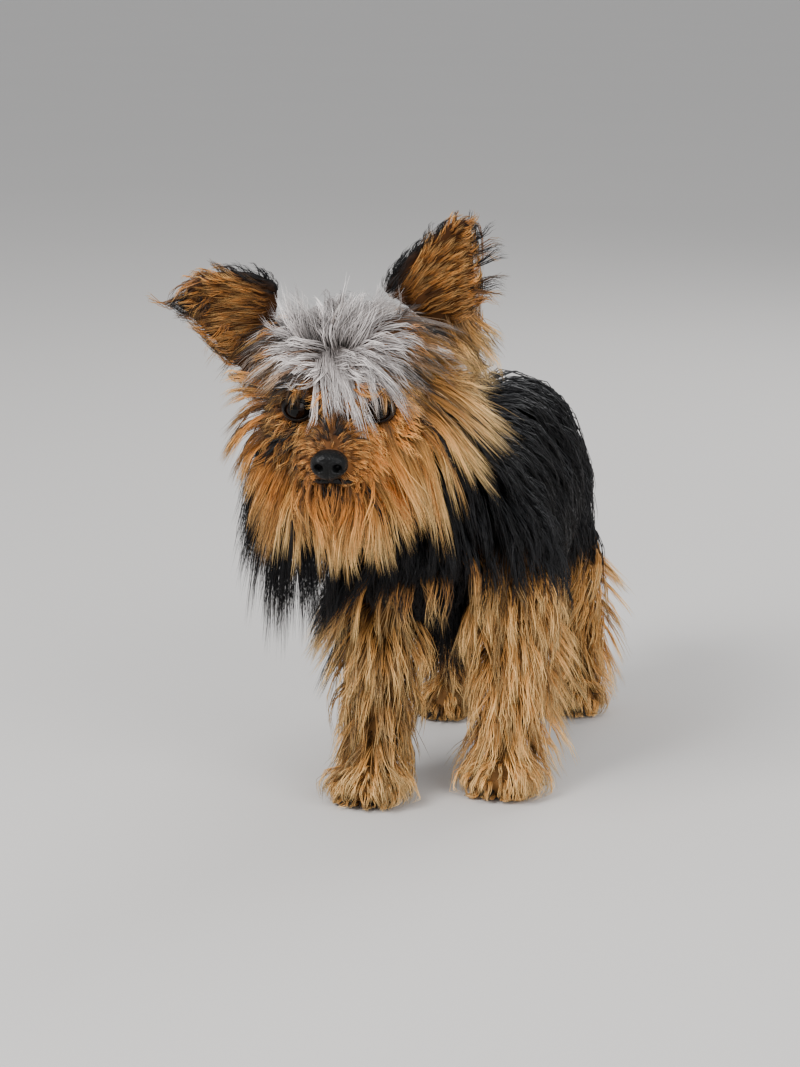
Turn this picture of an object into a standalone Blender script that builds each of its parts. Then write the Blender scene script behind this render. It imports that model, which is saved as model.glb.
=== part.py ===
"""Yorkshire terrier, a young dog standing, as a still life-size model.

The solids give the outline of the coat, out to the tips of the hair. The dog faces -Y and its left
side is +X. Lengths are in metres. The places below are in the stance frame, whose origin is on the
floor under the middle of the trunk; centre_on_floor() moves the whole dog at the end, so that the
origin is under the middle of its box.
"""

import math

import bmesh
import bpy
from mathutils import Matrix, Vector

GAP = 0.0003
VOXEL = 0.0040
BODY_TRIANGLES = 2700
WELD = 0.00001

# The head's own frame: its origin is midway between the eyes, and its axes are left, back and up.
EYE_MIDDLE = Vector((-0.0288, -0.1380, 0.1994))
HEAD_TURN = math.radians(11.0)
HEAD_NOD = math.radians(8.0)
EYE_APART = 0.0365
EYE_RADIUS = 0.0078
EYE_SETBACK = 0.0040
NOSE_MIDDLE = Vector((0.0, -0.0335, -0.0145))
NOSE_HALF = Vector((0.0088, 0.0062, 0.0070))
NOSTRIL_APART = 0.0084
NOSTRIL_RADII = (0.0023, 0.0025, 0.0019)
# The rounded region of the muzzle, and the height of the jaw, under which the coat is the beard.
MUZZLE_MIDDLE = (0, -0.0200, -0.0160)
MUZZLE_RADII = (0.0205, 0.0220, 0.0160)
JAW_HEIGHT = -0.0300
# The bare place round each eye, further out and forward than the eye.
EYE_HOLLOW_SHIFT = Vector((0.0015, -0.0130, -0.0005))
EYE_HOLLOW_RADII = (0.0105, 0.0120, 0.0085)

EAR_HALF_WIDTH = 0.0258
EAR_THICKNESS = 0.0042
EAR_CUP = 0.0110
EAR_COLUMNS, EAR_ROWS = 6, 8
# Each ear's root in the head's frame, its length, and its angles: how far it leans to its own side,
# how far its hollow faces outwards, and how far its tip folds. Its taper is the share of its width
# that is lost at the tip. The left ear is up, and the right one out to the side.
EARS = {
    "ear_left": {
        "root": (0.0365, 0.0330, 0.0290), "length": 0.0560,
        "lean": 17.0, "outward": 18.0, "fold": 6.0, "taper": 0.88,
    },
    "ear_right": {
        "root": (-0.0350, 0.0300, 0.0240), "length": 0.0470,
        "lean": 50.0, "outward": 12.0, "fold": 18.0, "taper": 0.60,
    },
}

# Where each paw stands, (left, back), and which way its toes point, in degrees to the dog's left.
PAWS = {
    "front_left": (0.0270, -0.0530, 4.0),
    "front_right": (-0.0290, -0.0830, -6.0),
    "hind_left": (0.0275, 0.0900, 8.0),
    "hind_right": (-0.0340, 0.0640, -6.0),
}
PAW_HALF = {"front": (0.0245, 0.0255), "hind": (0.0175, 0.0230)}
PAW_CLEARANCE = 0.0012
PAW_TOP = 0.0230
PAD_RADIUS = 0.0090
PAD_LENGTHEN = 1.25
PAD_HEIGHT = 0.0050
PAD_BEVEL = 0.0012
CLAW_LENGTH = 0.0085
CLAW_RADIUS = 0.0014
CLAW_HEIGHT = 0.0040
CLAW_DIP = 14.0
CLAW_SPREAD = (-24.0, -8.0, 8.0, 24.0)
# How far the two middle claws and the two outer ones reach from the middle of the paw.
CLAW_REACH = {"middle": 0.0175, "outer": 0.0160}
CLAW_SETBACK = 0.0040

# The trunk's width as a share of its height.
TRUNK_NARROW = 0.76
# Where the trunk is parted, and the region behind it and over the hocks that holds the tail.
BELLY_START = -0.006
RUMP_START = 0.039
TAIL_REGION = {"centre": Vector((0, 0.1665, 0.1300)), "size": (0.050, 0.100, 0.140)}
# Each leg is parted from the trunk below a slant, from its height at the inner side of the leg. Its
# region runs this far ahead of and behind the paw's middle, and starts this far inwards of it.
FORE_LEG_REGION = {"ahead": 0.080, "behind": 0.049, "armpit": 0.0600, "rise": 0.95}
HIND_LEG_REGION = {"behind": 0.060, "groin": 0.0760, "rise": 0.75}
LEG_HALF_WIDTH = 0.0255
# The heights where the lower leg starts.
KNEE_HEIGHT = {"front": 0.060, "hind": 0.064}

COAT = {
    "steel": ((0.020, 0.021, 0.026), 0.45),
    "tan": ((0.400, 0.200, 0.075), 0.60),
    "gold": ((0.470, 0.290, 0.135), 0.60),
    "silver": ((0.420, 0.390, 0.370), 0.55),
    "nose_leather": ((0.010, 0.010, 0.011), 0.35),
    "eye_dark": ((0.012, 0.007, 0.005), 0.08),
    "pad_leather": ((0.014, 0.012, 0.012), 0.60),
    "claw_horn": ((0.016, 0.014, 0.013), 0.40),
}


def clear_scene():
    for old in list(bpy.data.objects):
        bpy.data.objects.remove(old)


def collection(name):
    made = bpy.data.collections.new(name)
    bpy.context.scene.collection.children.link(made)
    return made


def coat_materials():
    made = {}
    for name, (colour, roughness) in COAT.items():
        paint = bpy.data.materials.new(name)
        paint.use_nodes = True
        shader = paint.node_tree.nodes["Principled BSDF"]
        shader.inputs["Base Color"].default_value = (*colour, 1.0)
        shader.inputs["Roughness"].default_value = roughness
        shader.inputs["Metallic"].default_value = 0.0
        made[name] = paint
    return made


def head_matrix():
    """Carries a place in the head's frame to the stance frame."""
    turned = Matrix.Rotation(HEAD_TURN, 4, "Z") @ Matrix.Rotation(HEAD_NOD, 4, "X")
    return Matrix.Translation(EYE_MIDDLE) @ turned


def on_head(left, back, up):
    return head_matrix() @ Vector((left, back, up))


def put(name, mesh, home):
    mesh.shade_smooth()
    made = bpy.data.objects.new(name, mesh)
    home.objects.link(made)
    return made


def object_from(fill, name, home):
    """A mesh object from a bmesh that fill() fills in."""
    shape = bmesh.new()
    fill(shape)
    bmesh.ops.recalc_face_normals(shape, faces=shape.faces)
    mesh = bpy.data.meshes.new(name)
    shape.to_mesh(mesh)
    shape.free()
    return put(name, mesh, home)


def ball(name, centre, radii, home, turn=None, segments=24):
    """An ellipsoid. turn is a rotation matrix for its own axes."""
    place = Matrix.Translation(centre) @ (turn or Matrix()).to_4x4() @ Matrix.Diagonal((*radii, 1.0))
    return object_from(
        lambda shape: bmesh.ops.create_uvsphere(
            shape, u_segments=segments, v_segments=segments // 2, radius=1.0, matrix=place
        ),
        name,
        home,
    )


def limb(name, stations, home):
    """A round limb through stations of (place, radius), as a bevelled curve made a mesh."""
    line = bpy.data.curves.new(name, "CURVE")
    line.dimensions = "3D"
    line.bevel_depth = 1.0
    line.bevel_resolution = 4
    line.use_fill_caps = True
    line.resolution_u = 6
    spline = line.splines.new("NURBS")
    spline.points.add(len(stations) - 1)
    for point, (place, radius) in zip(spline.points, stations):
        point.co = (*place, 1.0)
        point.radius = radius
    spline.order_u = 3
    spline.use_endpoint_u = True
    guide = bpy.data.objects.new(name + "_line", line)
    home.objects.link(guide)
    mesh = bpy.data.meshes.new_from_object(guide.evaluated_get(bpy.context.evaluated_depsgraph_get()))
    bpy.data.objects.remove(guide)
    shape = bmesh.new()
    shape.from_mesh(mesh)
    bmesh.ops.remove_doubles(shape, verts=shape.verts, dist=WELD)
    bmesh.ops.recalc_face_normals(shape, faces=shape.faces)
    shape.to_mesh(mesh)
    shape.free()
    return put(name, mesh, home)


def applied(obj):
    """obj again as a plain mesh, with its modifiers applied."""
    name, home = obj.name, obj.users_collection[0]
    mesh = bpy.data.meshes.new_from_object(obj.evaluated_get(bpy.context.evaluated_depsgraph_get()))
    bpy.data.objects.remove(obj)
    return put(name, mesh, home)


def join_meshes(name, pieces, home):
    shape = bmesh.new()
    for piece in pieces:
        shape.from_mesh(piece.data)
        bpy.data.objects.remove(piece)
    mesh = bpy.data.meshes.new(name)
    shape.to_mesh(mesh)
    shape.free()
    return put(name, mesh, home)


def fuse(name, pieces, home, triangles):
    """One smooth closed body over all the pieces."""
    body = join_meshes(name, pieces, home)
    remesh = body.modifiers.new("one_skin", "REMESH")
    remesh.mode = "VOXEL"
    remesh.voxel_size = VOXEL
    soften = body.modifiers.new("soften", "SMOOTH")
    soften.factor = 0.5
    soften.iterations = 6
    body = applied(body)
    body.data.calc_loop_triangles()
    thin = body.modifiers.new("thin", "DECIMATE")
    thin.ratio = min(1.0, triangles / len(body.data.loop_triangles))
    return applied(body)


def head_forms(home):
    """The coat's outline on the head: skull, brow, muzzle, cheeks and beard."""
    turn = head_matrix().to_3x3()
    forms = (
        ("skull", (0, 0.030, 0.008), (0.043, 0.042, 0.038)),
        ("brow", (0, 0.006, 0.012), (0.033, 0.020, 0.019)),
        ("muzzle", (0, -0.014, -0.015), (0.018, 0.020, 0.013)),
        ("chin", (0, -0.004, -0.040), (0.030, 0.022, 0.024)),
        ("beard", (0, -0.002, -0.052), (0.038, 0.024, 0.030)),
        ("cheek_left", (0.027, 0.018, -0.024), (0.028, 0.030, 0.036)),
        ("cheek_right", (-0.027, 0.018, -0.024), (0.028, 0.030, 0.036)),
        ("ruff", (0, 0.048, -0.030), (0.054, 0.036, 0.044)),
    )
    return [ball(name, on_head(*place), radii, home, turn) for name, place, radii in forms]


def trunk_forms(home):
    """The coat's outline on the neck, trunk and tail."""
    neck = [
        (on_head(0, 0.040, 0.000), 0.040),
        (on_head(0, 0.062, -0.030), 0.046),
        (Vector((-0.006, -0.045, 0.137)), 0.050),
    ]
    # From the breast to the root of the tail, as (left, back, up) and half the coat's height there.
    trunk = [
        (Vector((-0.012, -0.102, 0.118)), 0.026),
        (Vector((-0.012, -0.078, 0.121)), 0.054),
        (Vector((-0.009, -0.035, 0.127)), 0.067),
        (Vector((-0.006, 0.015, 0.130)), 0.068),
        (Vector((-0.007, 0.060, 0.134)), 0.060),
        (Vector((-0.008, 0.092, 0.135)), 0.048),
        (Vector((-0.006, 0.112, 0.140)), 0.022),
    ]
    tail = [
        (Vector((-0.004, 0.096, 0.154)), 0.016),
        (Vector((-0.005, 0.120, 0.147)), 0.0150),
        (Vector((-0.007, 0.135, 0.128)), 0.0135),
        (Vector((-0.008, 0.143, 0.102)), 0.0100),
        (Vector((-0.008, 0.145, 0.078)), 0.0040),
    ]
    # The cape of long hair over each shoulder. It stands out further on the dog's right.
    cape_right = [
        (Vector((-0.024, -0.060, 0.160)), 0.022),
        (Vector((-0.052, -0.076, 0.142)), 0.030),
        (Vector((-0.061, -0.082, 0.120)), 0.029),
        (Vector((-0.069, -0.085, 0.096)), 0.018),
        (Vector((-0.072, -0.085, 0.078)), 0.007),
    ]
    cape_left = [
        (Vector((0.006, -0.050, 0.155)), 0.020),
        (Vector((0.024, -0.056, 0.136)), 0.028),
        (Vector((0.034, -0.058, 0.110)), 0.021),
        (Vector((0.038, -0.058, 0.086)), 0.010),
    ]
    body = limb("trunk_form", trunk, home)
    body.data.transform(Matrix.Diagonal((TRUNK_NARROW, 1, 1, 1)))
    hanging = [
        ball("fringe_form", Vector((-0.019, 0.004, 0.076)), (0.020, 0.034, 0.042), home),
        ball("skirt_form", Vector((0.026, 0.003, 0.080)), (0.016, 0.034, 0.030), home),
        ball("skirt_form", Vector((-0.038, 0.003, 0.080)), (0.016, 0.034, 0.030), home),
    ]
    lines = (("neck", neck), ("tail", tail), ("cape_right", cape_right), ("cape_left", cape_left))
    return [body, *hanging, *(limb(name + "_form", stations, home) for name, stations in lines)]


def fore_leg_forms(corner, home):
    """A fore leg from the shoulder down, feathered behind, to the paw at that corner."""
    left, back, _ = PAWS[corner]
    side = math.copysign(1.0, left)
    leg = [
        (Vector((0.60 * left + 0.010 * side, -0.045, 0.130)), 0.030),
        (Vector((left + 0.004 * side, 0.5 * (back - 0.045) + 0.004, 0.090)), 0.027),
        (Vector((left, back + 0.007, 0.055)), 0.0225),
        (Vector((left, back + 0.003, 0.026)), 0.0210),
        (Vector((left, back, 0.014)), 0.0195),
    ]
    feather = [
        (Vector((left + 0.006 * side, back + 0.028, 0.094)), 0.023),
        (Vector((left + 0.012 * side, back + 0.030, 0.062)), 0.0165),
        (Vector((left + 0.015 * side, back + 0.031, 0.034)), 0.0070),
    ]
    return [limb("fore_leg_form", leg, home), limb("feather_form", feather, home)]


def hind_leg_forms(corner, home):
    """A hind leg: thigh forward to the stifle, back to the hock, down to the paw."""
    left, back, _ = PAWS[corner]
    side = math.copysign(1.0, left)
    leg = [
        (Vector((0.013 * side - 0.003, 0.068, 0.126)), 0.028),
        (Vector((0.78 * left, back - 0.024, 0.092)), 0.0250),
        (Vector((0.96 * left, back - 0.002, 0.060)), 0.0180),
        (Vector((left, back + 0.011, 0.036)), 0.0165),
        (Vector((left, back + 0.002, 0.014)), 0.0160),
    ]
    return [limb("hind_leg_form", leg, home)]


def paw_form(corner, home):
    left, back, turned = PAWS[corner]
    turn = Matrix.Rotation(math.radians(turned), 3, "Z")
    wide, long = PAW_HALF["front" if corner.startswith("front") else "hind"]
    return ball("paw_form", Vector((left, back - 0.003, 0.010)), (wide, long, 0.0125), home, turn)


def slab(name, centre, size, home, turn=None, rise=0.0, grow=0.0):
    """A box for cutting. rise slants its top and bottom, as height gained to the dog's left; grow moves
    its sides out."""
    shear = Matrix.Identity(4)
    shear[2][0] = rise
    scale = Matrix.Diagonal((*(side + 2 * grow for side in size), 1.0))
    place = Matrix.Translation(centre) @ (turn or Matrix()).to_4x4() @ shear @ scale
    made = object_from(lambda shape: bmesh.ops.create_cube(shape, size=1.0, matrix=place), name, home)
    made.hide_render = True
    made.display_type = "WIRE"
    return made


def boolean(obj, other, operation):
    change = obj.modifiers.new(operation.lower(), "BOOLEAN")
    change.operation = operation
    change.object = other
    change.solver = "EXACT"


def copy_of(obj, name, home, swell=0.0):
    """A copy of obj's mesh, its surface moved out by swell."""
    made = put(name, obj.data.copy(), home)
    if swell:
        grow = made.modifiers.new("swell", "DISPLACE")
        grow.strength = swell
        grow.mid_level = 0.0
        made = applied(made)
    made.hide_render = True
    return made


def cut_clear(obj, other, cutters):
    """Cuts obj back from other, leaving GAP between them."""
    cutter = copy_of(other, other.name + "_kerf", cutters, swell=GAP)
    boolean(obj, cutter, "DIFFERENCE")
    made = applied(obj)
    bpy.data.objects.remove(cutter)
    return made


def part_off(body, name, region, parts, cutters):
    """Takes what lies in a region off body, as a new part. Returns (the part, what is left of body).
    A region with radii is an ellipsoid, and any other is a box."""
    if "radii" in region:
        wider = {**region, "radii": [radius + GAP for radius in region["radii"]]}
        inside = ball(name + "_region", home=cutters, **region)
        outside = ball(name + "_kerf", home=cutters, **wider)
    else:
        inside = slab(name + "_region", home=cutters, **region)
        outside = slab(name + "_kerf", home=cutters, grow=GAP, **region)
    piece = put(name, body.data.copy(), parts)
    boolean(piece, inside, "INTERSECT")
    boolean(body, outside, "DIFFERENCE")
    piece, rest = applied(piece), applied(body)
    for used in (inside, outside):
        bpy.data.objects.remove(used)
    return piece, rest


def behind(point, normal, size=0.30):
    """A region with one face through point, that lies on the side that normal points to."""
    along = Vector(normal).normalized()
    turn = along.to_track_quat("Y", "Z").to_matrix()
    return {"centre": Vector(point) + along * (size / 2), "size": (size, size, size), "turn": turn}


def leg_region(corner):
    """The leg at one corner, below a slant that runs up from the armpit or the groin."""
    left, stands, _ = PAWS[corner]
    side = math.copysign(1.0, left)
    if corner.startswith("front"):
        front, back = stands - FORE_LEG_REGION["ahead"], min(stands + FORE_LEG_REGION["behind"], BELLY_START)
        armpit, rise = FORE_LEG_REGION["armpit"], FORE_LEG_REGION["rise"]
    else:
        front, back = RUMP_START, stands + HIND_LEG_REGION["behind"]
        armpit, rise = HIND_LEG_REGION["groin"], HIND_LEG_REGION["rise"]
    inner, outer, bottom = abs(left) - LEG_HALF_WIDTH, 0.10, -0.10
    # The box is sheared about its own middle, so its height there is worked out from the slant.
    middle_top = armpit + rise * (outer - inner) / 2
    return {
        "centre": Vector((side * (inner + outer) / 2, (front + back) / 2, (middle_top + bottom) / 2)),
        "size": (outer - inner, back - front, middle_top - bottom),
        "rise": rise * side,
    }


def below(height):
    """Everything lower than a height."""
    return {"centre": Vector((0, 0, height - 0.10)), "size": (0.6, 0.6, 0.20)}


def ear(name, home):
    """One ear: a cupped leaf, wide at its root, with its hollow to the front."""
    pose = EARS[name]
    side = math.copysign(1.0, pose["root"][0])
    turn = (
        head_matrix().to_3x3()
        @ Matrix.Rotation(math.radians(pose["lean"] * side), 3, "Y")
        @ Matrix.Rotation(math.radians(pose["outward"] * side), 3, "Z")
    )
    place = Matrix.Translation(on_head(*pose["root"])) @ turn.to_4x4()

    def leaf(shape):
        bmesh.ops.create_grid(shape, x_segments=EAR_COLUMNS, y_segments=EAR_ROWS, size=1.0)
        for vert in shape.verts:
            across, height = vert.co.x, (vert.co.y + 1) / 2
            half = EAR_HALF_WIDTH * (1 - pose["taper"] * height**1.7)
            cup = EAR_CUP * (1 - 0.75 * height)
            bend = math.radians(pose["fold"]) * height**2
            rise = pose["length"] * height
            vert.co = place @ Vector(
                (
                    across * half + side * rise * math.sin(bend) * 0.5,
                    cup * (1 - across * across) - rise * math.sin(bend) * 0.35,
                    rise * math.cos(bend) - 0.012 * (1 - height) * across * side,
                )
            )

    made = object_from(leaf, name, home)
    thicken = made.modifiers.new("thickness", "SOLIDIFY")
    thicken.thickness = EAR_THICKNESS
    thicken.offset = 0.0
    return applied(made)


def eye_place(side):
    return on_head(side * EYE_APART / 2, EYE_SETBACK, 0.0)


def eye(side, name, home):
    return ball(name, eye_place(side), (EYE_RADIUS,) * 3, home, head_matrix().to_3x3(), segments=14)


def eye_hollow(side, home):
    """The bare place in the coat that shows the eye."""
    out, back, up = EYE_HOLLOW_SHIFT
    middle = on_head(side * (EYE_APART / 2 + out), EYE_SETBACK + back, up)
    hollow = ball("eye_hollow", middle, EYE_HOLLOW_RADII, home, head_matrix().to_3x3(), segments=12)
    hollow.hide_render = True
    return hollow


def nose(home, cutters):
    """The nose leather: a rounded block with two nostrils."""
    turn = head_matrix().to_3x3()
    # The block is larger than the nose, because rounding it draws its faces in.
    size = Matrix.Diagonal((*(2.3 * NOSE_HALF), 1.0))
    place = Matrix.Translation(on_head(*NOSE_MIDDLE)) @ turn.to_4x4() @ size

    def block(shape):
        bmesh.ops.create_cube(shape, size=1.0, matrix=place)

    made = object_from(block, "nose", home)
    round_off = made.modifiers.new("round", "SUBSURF")
    round_off.levels = round_off.render_levels = 2
    made = applied(made)
    for side in (-1, 1):
        middle = NOSE_MIDDLE + Vector((side * NOSTRIL_APART / 2, -NOSE_HALF.y, 0.0002))
        nostril = ball("nostril", on_head(*middle), NOSTRIL_RADII, cutters, turn, segments=8)
        nostril.hide_render = True
        boolean(made, nostril, "DIFFERENCE")
        made = applied(made)
        bpy.data.objects.remove(nostril)
    return made


def paw_matrix(corner):
    left, back, turned = PAWS[corner]
    return Matrix.Translation((left, back, 0)) @ Matrix.Rotation(math.radians(turned), 4, "Z")


def pad(corner, home):
    """A paw's pads as one low cushion, flat on the floor."""
    middle = Matrix.Translation((0, -0.002, PAD_HEIGHT / 2))
    place = paw_matrix(corner) @ middle @ Matrix.Diagonal((1, PAD_LENGTHEN, 1, 1))

    def disc(shape):
        size = {"radius1": PAD_RADIUS, "radius2": PAD_RADIUS, "depth": PAD_HEIGHT}
        bmesh.ops.create_cone(shape, cap_ends=True, segments=14, matrix=place, **size)

    made = object_from(disc, "pad_" + corner, home)
    made.data.set_sharp_from_angle(angle=math.radians(40))
    rounding = made.modifiers.new("edge", "BEVEL")
    rounding.width = PAD_BEVEL
    rounding.segments = 1
    return applied(made)


def claw(corner, spread, number, home):
    """One claw, a bent cone whose point is just over the floor in front of its toe."""
    aim = Matrix.Rotation(math.radians(spread), 4, "Z")
    reach = CLAW_REACH["middle" if abs(spread) < 10 else "outer"]
    tip_down = Matrix.Rotation(math.radians(90 + CLAW_DIP), 4, "X")
    toe = Matrix.Translation((0, -CLAW_SETBACK, CLAW_HEIGHT)) @ aim @ Matrix.Translation((0, -reach, 0))
    place = paw_matrix(corner) @ toe @ tip_down

    def cone(shape):
        ends = {"radius1": CLAW_RADIUS, "radius2": 0.25 * CLAW_RADIUS, "depth": CLAW_LENGTH}
        bmesh.ops.create_cone(shape, cap_ends=True, segments=6, matrix=place, **ends)

    return object_from(cone, f"claw_{corner}_{number}", home)


def paint(objects, materials):
    """Gives each part the material that the dog's markings put there."""
    slots = (
        ("eye", "eye_dark"),
        ("nose", "nose_leather"),
        ("pad", "pad_leather"),
        ("claw", "claw_horn"),
        ("head", "silver"),
        ("muzzle", "tan"),
        ("beard", "tan"),
        ("ear", "tan"),
        ("paw", "gold"),
        ("foreleg", "gold"),
        ("shank", "gold"),
    )
    for obj in objects:
        found = [slot for start, slot in slots if obj.name.startswith(start)]
        obj.data.materials.clear()
        obj.data.materials.append(materials[found[0] if found else "steel"])


def centre_on_floor(objects):
    """Moves the whole dog so that the origin is on the floor under the middle of its box."""
    places = [vert.co for obj in objects for vert in obj.data.vertices]
    low = Vector(min(place[axis] for place in places) for axis in range(3))
    high = Vector(max(place[axis] for place in places) for axis in range(3))
    shift = Vector((-(low.x + high.x) / 2, -(low.y + high.y) / 2, -low.z))
    for obj in objects:
        obj.data.transform(Matrix.Translation(shift))


def part_legs(body, parts, cutters):
    """Takes the four legs off the trunk, each in three lengths, and levels the paws."""
    names = {"front": ("upper_arm", "foreleg"), "hind": ("thigh", "shank")}
    for corner in PAWS:
        end, side = corner.split("_")
        upper, lower = names[end]
        leg, body = part_off(body, f"{upper}_{side}", leg_region(corner), parts, cutters)
        low, leg = part_off(leg, f"{lower}_{side}", below(KNEE_HEIGHT[end]), parts, cutters)
        paw, low = part_off(low, f"paw_{corner}", below(PAW_TOP), parts, cutters)
        boolean(paw, slab("floor_cut", home=cutters, **below(PAW_CLEARANCE)), "DIFFERENCE")
        paw = applied(paw)
        for piece in claws_and_pad(corner, parts):
            paw = cut_clear(paw, piece, cutters)
    return body


def claws_and_pad(corner, parts):
    claws = [claw(corner, spread, number, parts) for number, spread in enumerate(CLAW_SPREAD, 1)]
    return [*claws, pad(corner, parts)]


def part_head(head, parts, cutters):
    """Opens the coat at the eyes, sets in the eyes, nose and ears, and parts muzzle and beard."""
    for side, name in ((1, "eye_left"), (-1, "eye_right")):
        boolean(head, eye_hollow(side, cutters), "DIFFERENCE")
        head = cut_clear(applied(head), eye(side, name, parts), cutters)
    head = cut_clear(head, nose(parts, cutters), cutters)
    for name in EARS:
        cut_clear(ear(name, parts), head, cutters)
    turn = head_matrix().to_3x3()
    size = 0.30
    below_jaw = on_head(0, 0, JAW_HEIGHT - size / 2)
    beard = {"centre": below_jaw, "size": (size, size, size), "turn": turn}
    beard, head = part_off(head, "beard", beard, parts, cutters)
    muzzle = {"centre": on_head(*MUZZLE_MIDDLE), "radii": MUZZLE_RADII, "turn": turn, "segments": 16}
    part_off(head, "muzzle", muzzle, parts, cutters)


def main():
    clear_scene()
    parts, cutters = collection("yorkshire_terrier"), collection("cutters")
    forms = head_forms(parts) + trunk_forms(parts)
    for corner in PAWS:
        leg_forms = fore_leg_forms if corner.startswith("front") else hind_leg_forms
        forms += [*leg_forms(corner, parts), paw_form(corner, parts)]
    body = fuse("chest", forms, parts, BODY_TRIANGLES)

    # Each cut is a place on it and the way to the part that it takes off.
    throat_cut = (on_head(0, 0.036, -0.020), head_matrix().to_3x3() @ Vector((0, -0.87, 0.50)))
    withers_cut = (Vector((0, -0.050, 0.185)), Vector((0, -0.60, 0.80)))
    head, body = part_off(body, "head", behind(*throat_cut), parts, cutters)
    _, body = part_off(body, "neck", behind(*withers_cut), parts, cutters)
    _, body = part_off(body, "tail", TAIL_REGION, parts, cutters)
    body = part_legs(body, parts, cutters)
    _, body = part_off(body, "rump", behind((0, RUMP_START, 0.12), (0, 1, 0)), parts, cutters)
    part_off(body, "belly", behind((0, BELLY_START, 0.12), (0, 1, 0)), parts, cutters)
    part_head(head, parts, cutters)

    for leftover in list(cutters.objects):
        bpy.data.objects.remove(leftover)
    dog = list(parts.objects)
    paint(dog, coat_materials())
    centre_on_floor(dog)


main()
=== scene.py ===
"""Yorkshire terrier, a still life-size model: one skin under a combed coat of solid hair."""

import math

import bpy
import numpy as np
from mathutils import Matrix, Vector
from mathutils.bvhtree import BVHTree


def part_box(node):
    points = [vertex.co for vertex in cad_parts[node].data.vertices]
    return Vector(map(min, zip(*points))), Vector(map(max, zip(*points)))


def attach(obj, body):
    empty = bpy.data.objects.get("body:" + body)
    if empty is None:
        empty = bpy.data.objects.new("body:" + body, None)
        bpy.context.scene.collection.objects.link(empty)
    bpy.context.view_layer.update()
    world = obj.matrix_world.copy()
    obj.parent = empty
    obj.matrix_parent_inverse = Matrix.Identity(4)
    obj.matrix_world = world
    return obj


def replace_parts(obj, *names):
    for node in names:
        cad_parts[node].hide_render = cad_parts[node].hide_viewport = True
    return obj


bl_info = {
    "name": "Yorkshire terrier model",
    "version": (1, 0, 0),
    "blender": (4, 5, 0),
    "location": "View3D > Sidebar > Terrier",
    "description": "Builds the skin, face, claws and combed coat of a standing terrier",
    "category": "Mesh",
}

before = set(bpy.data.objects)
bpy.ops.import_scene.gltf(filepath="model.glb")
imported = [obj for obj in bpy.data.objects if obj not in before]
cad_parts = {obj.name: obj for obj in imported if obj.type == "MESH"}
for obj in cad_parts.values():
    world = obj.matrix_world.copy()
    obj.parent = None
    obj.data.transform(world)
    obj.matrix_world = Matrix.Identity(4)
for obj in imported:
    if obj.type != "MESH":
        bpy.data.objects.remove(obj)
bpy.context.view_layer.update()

# The head's own frame: left, back and up from the middle of the eyes.
EYE_MIDDLE = Vector((-0.0288, -0.1380, 0.1994))
HEAD_TURN = math.radians(11.0)
HEAD_NOD = math.radians(8.0)
EYE_APART = 0.0365
EYE_RADIUS = 0.0078
LID_RADIUS = 0.0064
EYE_SETBACK = 0.0040
NOSE_MIDDLE = Vector((0.0, -0.0335, -0.0145))
NOSE_HALF = Vector((0.0083, 0.0062, 0.0067))
NOSTRIL_APART = 0.0080
NOSTRIL_HALF = (0.0023, 0.0021)
NOSTRIL_DEPTH = 0.0036
NOSTRIL_RIM = 0.0004
SLIT_HALF = (0.0026, 0.0008)
GROOVE_HALF_WIDTH = 0.0006
GROOVE_DEPTH = 0.0008

# The clear opening that the hair leaves round each eye: how high its middle is, and its half sizes.
EYE_UP = 0.0000
EYE_CLEAR = (0.0054, 0.0036)
EYE_CLEAR_BACK = 0.006

# Each paw's place on the floor, to the left and back of the breast, and the way its toes turn.
PAWS = {
    "front_left": (0.0270, -0.0530, 4.0),
    "front_right": (-0.0290, -0.0830, -6.0),
    "hind_left": (0.0275, 0.0900, 8.0),
    "hind_right": (-0.0340, 0.0640, -6.0),
}

# The ears under their hair. The left one is up, and the right one out to the side.
EARS = {
    "ear_left": {
        "root": (0.0365, 0.0330, 0.0290), "length": 0.0530, "lean": 17.0,
        "outward": 18.0, "fold": 6.0, "taper": 0.90,
    },
    "ear_right": {
        "root": (-0.0350, 0.0300, 0.0240), "length": 0.0440, "lean": 50.0,
        "outward": 12.0, "fold": 18.0, "taper": 0.66,
    },
}
EAR_HALF_WIDTH = 0.0235
EAR_THICKNESS = 0.0030
EAR_CUP = 0.0110

TRUNK_NARROW = 0.76
HARD_PARTS = ("eye", "nose", "claw", "pad")

# How high the hair and the skin stay off the floor.
FLOOR_GAP = 0.0012
SKIN_FLOOR = 0.0016

# How deep a hair is rooted, how far off the skin it starts, and the size of a lock's patch on the map.
ROOT_DEPTH = 0.0008
ROOT_GAP = 0.0001
PATCH = 0.0030


def head_turn():
    return Matrix.Rotation(HEAD_TURN, 4, "Z") @ Matrix.Rotation(HEAD_NOD, 4, "X")


def middle_of(node):
    low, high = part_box(node)
    return (low + high) / 2


def stance_shift():
    """How far the model's own frame lies from the dog's breast, found at its left eye."""
    eye = EYE_MIDDLE + head_turn() @ Vector((EYE_APART / 2, EYE_SETBACK, 0))
    shift = middle_of("eye_left") - eye
    shift.z = 0
    return shift


STANCE = stance_shift()
HEAD = Matrix.Translation(STANCE + EYE_MIDDLE) @ head_turn()
HEAD_ARRAY = np.array(HEAD.to_3x3())
HEAD_ORIGIN = np.array(HEAD.translation)


def on_head(left, back, up):
    return HEAD @ Vector((left, back, up))


def in_stance(left, back, up):
    return STANCE + Vector((left, back, up))


def to_head(points):
    """Points of the model as left, back and up in the head's frame."""
    return (points - HEAD_ORIGIN) @ HEAD_ARRAY


def to_stance(points):
    return points - np.array(STANCE)


def turned_to_head(directions):
    """Directions given in the head's frame, turned to the model's."""
    return directions @ HEAD_ARRAY.T


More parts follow.
